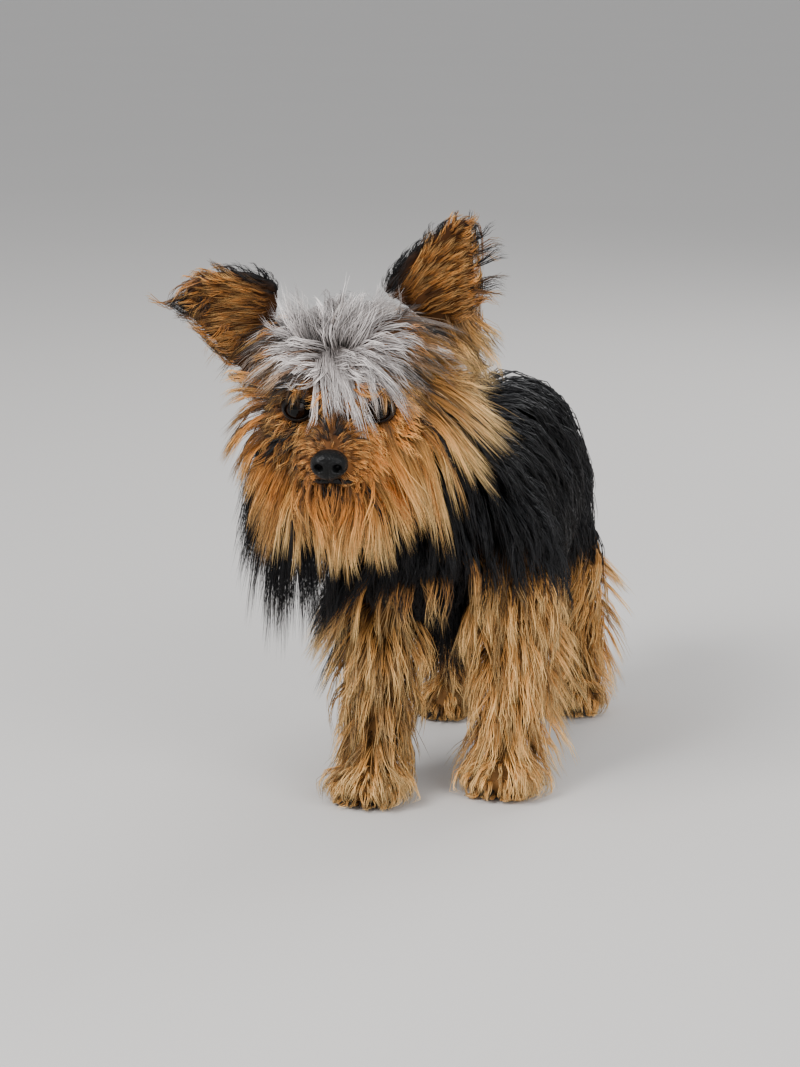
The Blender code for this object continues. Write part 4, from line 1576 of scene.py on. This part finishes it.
class TerrierCoatSettings(bpy.types.PropertyGroup):
    density: bpy.props.FloatProperty(
        name="Density", description="Share of the full number of locks", default=1.0, min=0.05, max=2.0)
    length: bpy.props.FloatProperty(
        name="Length", description="Share of the full hair length", default=1.0, min=0.3, max=1.5)
    thickness: bpy.props.FloatProperty(
        name="Thickness", description="Share of the full strand thickness", default=1.0, min=0.3, max=3.0)
    skin_detail: bpy.props.FloatProperty(
        name="Skin Detail", description="Size of the skin's faces", default=0.0016, min=0.0008,
        max=0.01, subtype="DISTANCE", unit="LENGTH")
    # Each coat darkens towards its roots: partly the hair's own darker base, partly painted shade deep in
    # the coat between the locks.
    steel_root: colour_choice("Steel Root", "Blue-black hair at its root", (0.0025, 0.0024, 0.0028))
    steel_middle: colour_choice("Steel Middle", "Blue-black hair halfway", (0.0038, 0.0040, 0.0052))
    steel_tip: colour_choice("Steel Tip", "Blue-black hair at its tip", (0.0090, 0.0080, 0.0085))
    tan_root: colour_choice("Tan Root", "Tan hair at its root", (0.0700, 0.0230, 0.0060))
    tan_middle: colour_choice("Tan Middle", "Tan hair halfway", (0.6200, 0.2400, 0.0460))
    tan_tip: colour_choice("Tan Tip", "Tan hair at its tip", (0.9600, 0.5700, 0.2000))
    gold_root: colour_choice("Gold Root", "Golden hair at its root", (0.0480, 0.0190, 0.0060))
    gold_middle: colour_choice("Gold Middle", "Golden hair halfway", (0.5800, 0.2800, 0.0700))
    gold_tip: colour_choice("Gold Tip", "Golden hair at its tip", (0.9600, 0.6800, 0.3000))
    silver_root: colour_choice("Silver Root", "Silver hair at its root", (0.0280, 0.0210, 0.0180))
    silver_middle: colour_choice("Silver Middle", "Silver hair halfway", (0.3900, 0.3500, 0.3350))
    silver_tip: colour_choice("Silver Tip", "Silver hair at its tip", (0.8800, 0.8200, 0.7900))


class TerrierStageSettings(bpy.types.PropertyGroup):
    floor_colour: colour_choice("Floor", "Colour of the plain floor", (0.56, 0.54, 0.52))
    key: light_choice("Key Light", "Strength of the soft main light", 44.0)
    fill: light_choice("Fill Light", "Strength of the light from the other side", 20.0)
    rim: light_choice("Rim Light", "Strength of the light from behind", 12.0)
    world: bpy.props.FloatProperty(
        name="Surround", description="Strength of the pale surround", default=0.72, min=0.0)


# Operators


class TERRIER_OT_skin(bpy.types.Operator):
    """Make the one skin that lies under the coat"""

    bl_idname = "terrier.skin"
    bl_label = "Skin"

    def execute(self, context):
        skin = build_skin(context.scene.terrier_coat.skin_detail)
        points = points_of(skin)
        group = nearest_group(points)
        tan, gold, silver = markings(points, group)
        # The ears' skin gets less tan, so it shows darker: painted shade in the ears' cups.
        tan = tan * (1 - 0.6 * np.isin(np.array(GROUPS)[group], tuple(EARS)))
        for key, values in zip(COAT_KEYS[1:], (tan, gold, silver)):
            write_attribute(skin.data, key, values)
        dress(skin, "skin")
        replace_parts(skin, *(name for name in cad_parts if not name.startswith(HARD_PARTS)))
        return {"FINISHED"}


class TERRIER_OT_face(bpy.types.Operator):
    """Make the eyes and the nose leather"""

    bl_idname = "terrier.face"
    bl_label = "Eyes and Nose"

    def execute(self, context):
        make_eye("globe_left", 1)
        make_eye("globe_right", -1)
        make_nose()
        return {"FINISHED"}


class TERRIER_OT_feet(bpy.types.Operator):
    """Make the claws and pads of all four paws"""

    bl_idname = "terrier.feet"
    bl_label = "Claws and Pads"

    def execute(self, context):
        for corner in PAWS:
            make_claws(corner)
            make_pads(corner)
        return {"FINISHED"}


class TERRIER_OT_head_coat(bpy.types.Operator):
    """Comb the hair of the crown, cheeks, muzzle, beard and ears"""

    bl_idname = "terrier.head_coat"
    bl_label = "Head Coat"

    def execute(self, context):
        comb("coat_crown", where_crown, crown_flow, "coat_silver", 11, density=12.5, strands=7,
             length=crown_length, spread=0.0026, clump=0.60, wave=0.0016, thickness=0.00038,
             fill=(0.10, 0.90), rise=0.35, sag=0.2, slack=0.001, dark=0.30)
        for name, side, seed in (("left", 1, 12), ("right", -1, 13)):
            comb("coat_cheek_" + name, where_cheek(side), face_flow, "coat_tan", seed, density=20,
                 strands=6, length=face_length, spread=0.0020, clump=0.62, wave=0.0015,
                 thickness=0.00038, fill=(0.12, 1.0), rise=0.4, sag=0.35, dark=0.16 if side > 0 else 0.30)
        comb("coat_muzzle", where_muzzle, face_flow, "coat_tan", 14, density=34, strands=5, rings=4,
             length=face_length, spread=0.0012, clump=0.3, wave=0.0004, thickness=0.00026,
             fill=(0.1, 0.8), rise=0.15, sag=0.2, dark=0.20)
        comb("coat_beard", where_beard, beard_flow, "coat_tan", 15, density=20, strands=8,
             length=evenly(0.040), spread=0.0026, clump=0.70, wave=0.0017, thickness=0.00038,
             fill=(0.1, 1.0), rise=0.6, sag=0.5, dark=0.18, hug=0.8)
        for name, seed in (("ear_left", 16), ("ear_right", 17)):
            comb("coat_" + name, where_group(name), ear_flow(name), "coat_tan", seed, density=15,
                 strands=5, rings=4, length=ear_length(name), spread=0.0016, clump=0.35, wave=0.0008,
                 thickness=0.00026, fill=(0.3, 1.2), rise=0.2, sag=0.0, dark=0.35, slack=0.003)
        return {"FINISHED"}


def metres(*rows):
    """Rows given in tenths of a millimetre, in metres."""
    return np.array(rows) / 10000


def locks_at(*rows):
    """Locks given in tenths of a millimetre: left, back and up of the root, then of the tip."""
    return metres(*rows).reshape(-1, 2, 3)


# Locks that give the photo's outline. Those of the head are in the head's frame, and those of the body
# in the breast's.
FRINGE = tuple(
    ((-0.0035 + 0.35 * left, 0.0095, 0.0225), (left, back, up)) for left, back, up in metres(
        (-110, -120, -125), (-43, -140, -60), (30, -140, -30), (96, -130, -110), (130, -130, -180),
        (181, -110, -110), (216, -90, -33), (288, -50, 48), (335, -40, -81),
    )
)
TOP = tuple(
    ((-0.003 + 0.35 * left, 0.0110, 0.0260), (left, 0.029, up)) for left, up in metres(
        (-400, 330), (-360, 400), (-310, 450), (-240, 465), (-180, 440), (-110, 420), (-40, 415),
        (40, 420), (110, 430), (175, 450), (225, 470), (280, 460),
    )
)
BEARD_TIPS = tuple(
    ((0.50 * left, -0.006 + back / 2, -0.030), (left, back, up)) for left, back, up in metres(
        (-322, -20, -766), (-260, -40, -700), (-192, -60, -781), (-92, -80, -814), (-20, -100, -740),
        (36, -100, -840), (64, -120, -760), (140, -110, -720), (210, -100, -776), (250, -90, -757),
        (342, -40, -683),
    )
)
RIGHT_SWEEP = locks_at(
    (-100, 20, 160, -340, 40, -60), (-100, 50, 190, -383, 80, 30), (-100, 100, 240, -480, 160, 40),
    (-90, 160, 280, -520, 240, -60), (-80, 220, 310, -520, 280, 140), (-60, 260, 320, -420, 300, 260),
)
LEFT_SWEEP = locks_at(
    (30, 40, 200, 400, 60, -100), (40, 80, 230, 440, 140, 10), (60, 140, 280, 560, 260, 30),
    (80, 200, 310, 654, 300, 103), (80, 260, 320, 560, 340, 240),
)
RIGHT_BROW = locks_at(
    (-120, 10, 110, -145, -80, 30), (-160, 20, 115, -185, -78, 32), (-200, 40, 115, -230, -55, 28),
    (-240, 60, 100, -275, -10, 10),
)
LEFT_BROW = locks_at(
    (100, 10, 110, 130, -85, -10), (140, 20, 115, 175, -85, -24), (180, 30, 115, 215, -70, -24),
    (220, 50, 110, 255, -40, -20),
)
WISPS = locks_at(
    (-4, 240, 340, 27, 200, 590), (-184, 280, 300, -213, 280, 540), (146, 260, 320, 186, 260, 535),
    (-100, 200, 320, -80, 100, 480), (60, 220, 320, 110, 120, 470), (240, 300, 300, 270, 240, 520),
)
LEFT_CHEEK_TIPS = locks_at(
    (220, -40, -120, 406, -20, -621), (240, 40, -160, 423, 60, -696), (270, 100, -140, 490, 100, -709),
    (300, 160, -100, 575, 120, -568), (300, 200, -60, 600, 200, -440),
)
GOLD_FALL = locks_at(
    (270, 340, 180, 703, 350, -14), (290, 360, 140, 680, 380, 80), (300, 340, 80, 741, 350, -216),
    (290, 340, 60, 804, 350, -272), (290, 320, 0, 673, 300, -402), (280, 300, -40, 689, 300, -518),
)
LEFT_EAR_FALL = locks_at(
    (400, 340, 300, 600, 340, 40), (460, 350, 280, 670, 340, 10), (500, 360, 300, 715, 360, 60),
    (560, 370, 340, 720, 370, 200),
)
LEFT_EAR_TUFTS = locks_at(
    (580, 360, 400, 720, 360, 400), (600, 360, 480, 740, 360, 500), (600, 360, 560, 745, 360, 610),
    (580, 360, 640, 730, 350, 690), (550, 360, 740, 600, 340, 830),
)
RIGHT_EAR_TUFTS = locks_at(
    (-640, 320, 500, -745, 290, 440), (-650, 310, 470, -760, 280, 360), (-640, 310, 430, -745, 290, 290),
    (-540, 330, 300, -640, 320, 120), (-460, 340, 220, -600, 340, 20),
)
RIGHT_CHEEK_TIPS = locks_at(
    (-300, 240, 80, -580, 320, 40), (-300, 200, 0, -591, 300, -63), (-300, 200, -60, -560, 240, -220),
    (-290, 160, -100, -581, 200, -356), (-280, 140, -160, -512, 150, -443),
    (-260, 120, -200, -472, 120, -503), (-240, 100, -220, -430, 60, -640),
    (-220, 60, -240, -400, 20, -720), (-200, 20, -260, -350, -20, -766),
)
MANE = locks_at(
    (-240, 340, -180, -440, 220, -540), (-240, 340, -240, -480, 220, -720),
    (-230, 340, -280, -490, 220, -880), (-220, 340, -320, -470, 200, -1060),
    (-210, 360, -360, -400, 200, -1150), (-200, 360, -400, -350, 180, -1280),
    (-180, 360, -420, -280, 180, -1190), (-150, 380, -440, -210, 160, -1200),
    (-110, 380, -460, -150, 140, -1220), (-60, 380, -460, -70, 120, -1040),
)
RUFF = locks_at(
    (-300, -800, 1360, -620, -960, 960), (-300, -820, 1280, -560, -940, 900),
    (-280, -840, 1240, -500, -960, 860), (-240, -860, 1240, -440, -1000, 840),
    (-340, -820, 1180, -600, -940, 820), (-340, -840, 1120, -560, -940, 740),
    (-160, -900, 1300, -382, -1020, 900), (-100, -900, 1300, -227, -990, 900),
    (-20, -880, 1300, -80, -920, 940), (40, -820, 1320, 60, -820, 1040),
)
KEEL = locks_at(
    (-100, -660, 920, -130, -600, 560), (-40, -640, 920, -60, -560, 500),
    (20, -620, 900, 30, -540, 460), (80, -580, 900, 110, -500, 520),
)
BREAST_TAN = locks_at(
    (-460, -840, 1120, -560, -980, 700), (-380, -880, 1140, -440, -1040, 680),
    (-300, -900, 1140, -330, -1060, 740), (-200, -920, 1140, -190, -1060, 780),
    (-100, -900, 1140, -60, -1020, 820), (20, -840, 1180, 80, -920, 840),
    (120, -760, 1240, 200, -800, 840), (200, -620, 1260, 300, -640, 800),
)
SHOULDER_SPIKES = locks_at(
    (240, -450, 1300, 263, -400, 917), (260, -350, 1300, 324, -240, 825),
    (280, -250, 1280, 371, -120, 677), (280, -100, 1260, 400, 60, 720),
)
ELBOW_WISPS = locks_at(
    (220, -500, 1040, 379, -300, 464), (240, -460, 1000, 456, -300, 646),
    (250, -440, 940, 500, -260, 500), (260, -460, 860, 531, -200, 308),
)
RIGHT_ELBOW = locks_at(
    (-380, -780, 1120, -600, -860, 840), (-400, -800, 1060, -620, -880, 700),
    (-410, -820, 980, -590, -900, 580), (-410, -820, 880, -560, -920, 480),
)
# Feathering that hangs out behind and beside each leg, in the leg's own frame.
FEATHERS = locks_at(
    (80, 100, 940, 200, 260, 580), (80, 120, 800, 220, 280, 440), (70, 120, 660, 210, 260, 300),
    (70, 100, 520, 190, 220, 180), (70, 60, 400, 180, 120, 100), (70, 0, 300, 190, -20, 60),
)


class TERRIER_OT_drawn_locks(bpy.types.Operator):
    """Draw the locks that give the fringe, beard, cheeks, ruff and elbow their outline"""

    bl_idname = "terrier.drawn_locks"
    bl_label = "Drawn Locks"

    def execute(self, context):
        breast = Matrix.Translation(STANCE)
        draw("coat_fringe", "coat_silver", 51, HEAD, FRINGE, strands=18, lift=0.006, fall=(0, 0, -0.9),
             clump=0.84, spread=0.0028, wave=0.0022, thin=12, dark=0.2, shade=(0.3, 0.0, 0.7), tone=0.52)
        draw("coat_sweep_right", "coat_silver", 61, HEAD, RIGHT_SWEEP, strands=12, lift=0.006, thin=30,
             dark=0.50, shade=(0.40, 0.0, 0.46), tone=0.26)
        draw("coat_sweep_left", "coat_silver", 62, HEAD, LEFT_SWEEP, strands=12, lift=0.006, thin=30,
             dark=0.50, shade=(0.55, 0.0, 0.42), tone=0.26)
        draw("coat_wisps", "coat_silver", 52, HEAD, WISPS, strands=3, lift=0.004, fall=(0, 0, 0.5),
             spread=0.0012, wave=0.0016, thin=6)
        draw("coat_beard_tips", "coat_gold", 53, HEAD, BEARD_TIPS, lift=0.014, clump=0.80, wave=0.0020,
             thin=26, dark=0.20, shade=(0.5, 0.6, 0.0), tone=0.58)
        draw("coat_cheek_tips_left", "coat_tan", 54, HEAD, LEFT_CHEEK_TIPS, lift=0.012, thin=18, dark=0.15,
             shade=(0.5, 0.6, 0.0), tone=0.60)
        draw("coat_cheek_tips_right", "coat_tan", 55, HEAD, RIGHT_CHEEK_TIPS, lift=0.012, thin=40, dark=0.42,
             shade=(0.9, 0.25, 0.0), tone=0.40)
        draw("coat_gold_fall", "coat_gold", 56, HEAD, GOLD_FALL, strands=14, fall=(0.3, 0, -0.4),
             clump=0.60, wave=0.0028, thin=34, dark=0.30, shade=(0.0, 1.0, 0.0), tone=0.58)
        draw("coat_ear_fall_left", "coat_gold", 60, HEAD, LEFT_EAR_FALL, lift=0.006, thin=14, dark=0.25,
             shade=(0.3, 0.7, 0.0), tone=0.5)
        for name, seed, tufts in (("left", 63, LEFT_EAR_TUFTS), ("right", 64, RIGHT_EAR_TUFTS)):
            draw("coat_ear_tufts_" + name, "coat_steel", seed, HEAD, tufts, strands=10, lift=0.003,
                 spread=0.0026, thickness=0.00030, thin=10, shade=(0.45, 0.0, 0.0))
        draw("coat_crown_top", "coat_silver", 66, HEAD, TOP, strands=10, fall=(0, 0, -0.2), wave=0.0030,
             clump=0.60, thin=36, dark=0.22, shade=(0.2, 0.0, 0.76), tone=0.56)
        draw("coat_brow_right", "coat_tan", 67, HEAD, RIGHT_BROW, strands=8, lift=0.003, spread=0.0018,
             wave=0.0008, thickness=0.00024, thin=8, dark=0.5, shade=(0.6, 0.0, 0.1), tone=0.14)
        draw("coat_brow_left", "coat_tan", 68, HEAD, LEFT_BROW, strands=8, lift=0.003, spread=0.0018,
             wave=0.0008, thickness=0.00024, thin=10, dark=0.4, shade=(0.55, 0.0, 0.35), tone=0.26)
        draw("coat_mane", "coat_steel", 65, HEAD, MANE, lift=0.020, fall=(0, 0, -2.5), clump=0.50,
             spread=0.0070, thin=96, shade=(0.0, 0.0, 0.0))
        draw("coat_ruff", "coat_steel", 57, breast, RUFF, lift=0.012, fall=(0, 0, -1.2), clump=0.60,
             spread=0.0058, thin=40, shade=(0.0, 0.0, 0.0))
        draw("coat_keel", "coat_steel", 50, breast, KEEL, strands=14, lift=0.006, fall=(0, 0, -0.8),
             clump=0.60, spread=0.0044, thin=18, shade=(0.0, 0.0, 0.0))
        draw("coat_breast_tan", "coat_gold", 69, breast, BREAST_TAN, strands=10, lift=0.016,
             fall=(0, 0, -0.8), spread=0.0040, wave=0.0028, thin=16, dark=0.60, shade=(0.45, 0.6, 0.0),
             tone=0.46)
        draw("coat_shoulder_spikes", "coat_steel", 58, breast, SHOULDER_SPIKES, lift=0.008,
             fall=(0.3, 0.2, -0.4), thin=8, shade=(0.0, 0.0, 0.0))
        draw("coat_elbow_wisps", "coat_gold", 59, breast, ELBOW_WISPS, lift=0.016, fall=(0.1, 0.1, -0.8),
             clump=0.80, wave=0.0018, thin=24, shade=(0.0, 1.0, 0.0), tone=0.62)
        draw("coat_elbow_right", "coat_gold", 49, breast, RIGHT_ELBOW, lift=0.008, fall=(-0.1, 0.0, -0.6),
             clump=0.70, wave=0.0022, thin=24, dark=0.30, shade=(0.4, 0.6, 0.0), tone=0.54)
        for seed, (corner, (left, back, _)) in enumerate(PAWS.items(), start=71):
            wide = 1.5 if corner == "front_left" else 1.15
            leg = egg(in_stance(left, back, 0), (math.copysign(wide, left), 1, 1))
            draw("coat_feather_" + corner, "coat_gold", seed, leg, FEATHERS, strands=12, lift=0.006,
                 fall=(0, 0, -0.3), clump=0.76, wave=0.0020, thin=22, dark=0.2, shade=(0.0, 1.0, 0.0),
                 tone=0.6)
        return {"FINISHED"}


class TERRIER_OT_body_coat(bpy.types.Operator):
    """Comb the hair of the neck, chest, flanks, belly and tail"""

    bl_idname = "terrier.body_coat"
    bl_label = "Body Coat"

    def execute(self, context):
        comb("coat_neck", where_group("neck"), neck_flow, "coat_steel", 21, density=4.6, strands=7,
             length=evenly(0.040), spread=0.0038, clump=0.60, wave=0.0008, thickness=0.00054,
             fill=(0.15, 0.9), rise=0.22, sag=0.4)
        comb("coat_chest", where_chest, chest_flow, "coat_steel", 22, density=8, strands=8,
             length=chest_length, spread=0.0034, clump=0.66, wave=0.0016, thickness=0.00050,
             fill=(0.15, 1.0), rise=0.6, sag=0.4)
        for name, side, seed in (("left", 1, 23), ("right", -1, 24)):
            comb("coat_flank_" + name, where_flank(side), trunk_flow, "coat_steel", seed, density=3.75,
                 strands=8, length=flank_length, spread=0.0050, clump=0.40, wave=0.0008,
                 thickness=0.00060, fill=(0.2, 0.85), rise=0.10, sag=0.2, slack=0.0)
        comb("coat_belly", where_belly, chest_flow, "coat_steel", 25, density=3.0, strands=6, rings=4,
             length=evenly(0.018), spread=0.0028, clump=0.70, wave=0.0015, thickness=0.00060,
             fill=(0.2, 0.9), rise=0.2, sag=0.4)
        comb("coat_tail", where_group("tail"), tail_flow, "coat_steel", 26, density=9, strands=8,
             length=evenly(0.030), spread=0.0020, clump=0.70, wave=0.0012, thickness=0.00052,
             fill=(0.2, 1.0), rise=0.3, sag=0.3)
        return {"FINISHED"}


class TERRIER_OT_leg_coat(bpy.types.Operator):
    """Comb the hair of the legs and paws"""

    bl_idname = "terrier.leg_coat"
    bl_label = "Leg Coat"

    def execute(self, context):
        for seed, corner in enumerate(PAWS, start=31):
            comb("coat_" + corner, where_group(corner), leg_flow(corner), "coat_gold", seed,
                 density=6.5 if is_front(corner) else 4.9, strands=7, length=evenly(0.038), spread=0.0030,
                 clump=0.70, wave=0.0020, thickness=0.00042, fill=(0.15, 1.05), rise=0.40, sag=0.3,
                 dark=0.32)
            comb("coat_paw_" + corner, where_group(corner + "_paw"), leg_flow(corner), "coat_gold",
                 seed + 10, density=15, strands=6, rings=4, length=evenly(0.014), spread=0.0016,
                 clump=0.55, wave=0.0011, thickness=0.00036, fill=(0.2, 1.0), rise=0.4, sag=0.3,
                 dark=0.12)
        return {"FINISHED"}


CAMERA_TURN = math.radians(17.0)
CAMERA_RAISE = math.radians(13.0)
CAMERA_DISTANCE = 1.3
CAMERA_TARGET = (-0.013, -0.095, 0.134)
CAMERA_LENS = 94.4


def soft_light(name, place, size, power):
    """A square light aimed at the dog's chest."""
    light = bpy.data.lights.new(name, "AREA")
    light.shape = "SQUARE"
    light.size = size
    light.energy = power
    obj = bpy.data.objects.new(name, light)
    bpy.context.scene.collection.objects.link(obj)
    obj.location = in_stance(*place)
    aim = in_stance(0, 0, 0.11) - obj.location
    obj.rotation_mode = "QUATERNION"
    obj.rotation_quaternion = aim.to_track_quat("-Z", "Y")
    return obj


class TERRIER_OT_stage(bpy.types.Operator):
    """Set out the plain floor, the soft lights and the camera"""

    bl_idname = "terrier.stage"
    bl_label = "Stage"

    def execute(self, context):
        scene = context.scene
        settings = scene.terrier_stage
        deselect()
        bpy.ops.mesh.primitive_circle_add(vertices=96, radius=20.0, fill_type="TRIFAN")
        floor = bpy.context.object
        floor.name = floor.data.name = "floor"
        floor.data.materials.append(finishes()["floor"])
        soft_light("key_light", (-0.75, -1.25, 1.35), 0.9, settings.key)
        soft_light("fill_light", (1.30, -0.90, 0.80), 1.2, settings.fill)
        soft_light("rim_light", (0.35, 1.20, 1.10), 0.8, settings.rim)
        world = bpy.data.worlds.new("pale_surround")
        world.use_nodes = True
        background = world.node_tree.nodes["Background"]
        background.inputs["Color"].default_value = (0.95, 0.97, 1.0, 1)
        background.inputs["Strength"].default_value = settings.world
        scene.world = world
        camera = bpy.data.objects.new("camera", bpy.data.cameras.new("camera"))
        scene.collection.objects.link(camera)
        camera.data.lens = CAMERA_LENS
        camera.data.sensor_width = 36.0
        camera.data.clip_end = 100.0
        back = Vector((
            math.sin(CAMERA_TURN) * math.cos(CAMERA_RAISE),
            -math.cos(CAMERA_TURN) * math.cos(CAMERA_RAISE),
            math.sin(CAMERA_RAISE),
        ))
        camera.location = in_stance(*CAMERA_TARGET) + back * CAMERA_DISTANCE
        camera.rotation_mode = "QUATERNION"
        camera.rotation_quaternion = (-back).to_track_quat("-Z", "Y")
        scene.camera = camera
        return {"FINISHED"}


OPERATORS = (TERRIER_OT_stage, TERRIER_OT_skin, TERRIER_OT_face, TERRIER_OT_feet, TERRIER_OT_head_coat,
             TERRIER_OT_drawn_locks, TERRIER_OT_body_coat, TERRIER_OT_leg_coat)


class TERRIER_PT_panel(bpy.types.Panel):
    """The terrier's pieces and settings"""

    bl_idname = "TERRIER_PT_panel"
    bl_label = "Terrier"
    bl_space_type = "VIEW_3D"
    bl_region_type = "UI"
    bl_category = "Terrier"

    def draw(self, context):
        for group in (context.scene.terrier_coat, context.scene.terrier_stage):
            box = self.layout.box()
            for key in group.bl_rna.properties.keys():
                if key not in ("rna_type", "name"):
                    box.prop(group, key)
        for operator in OPERATORS:
            self.layout.operator(operator.bl_idname)


CLASSES = (TerrierCoatSettings, TerrierStageSettings, *OPERATORS, TERRIER_PT_panel)


def register():
    for cls in CLASSES:
        bpy.utils.register_class(cls)
    bpy.types.Scene.terrier_coat = bpy.props.PointerProperty(type=TerrierCoatSettings)
    bpy.types.Scene.terrier_stage = bpy.props.PointerProperty(type=TerrierStageSettings)


def unregister():
    del bpy.types.Scene.terrier_stage
    del bpy.types.Scene.terrier_coat
    for cls in reversed(CLASSES):
        bpy.utils.unregister_class(cls)


def main():
    register()
    bpy.ops.terrier.stage()
    bpy.ops.terrier.skin()
    bpy.ops.terrier.face()
    bpy.ops.terrier.feet()
    bpy.ops.terrier.head_coat()
    bpy.ops.terrier.drawn_locks()
    bpy.ops.terrier.body_coat()
    bpy.ops.terrier.leg_coat()
    deselect()


if __name__ == "__main__":
    main()
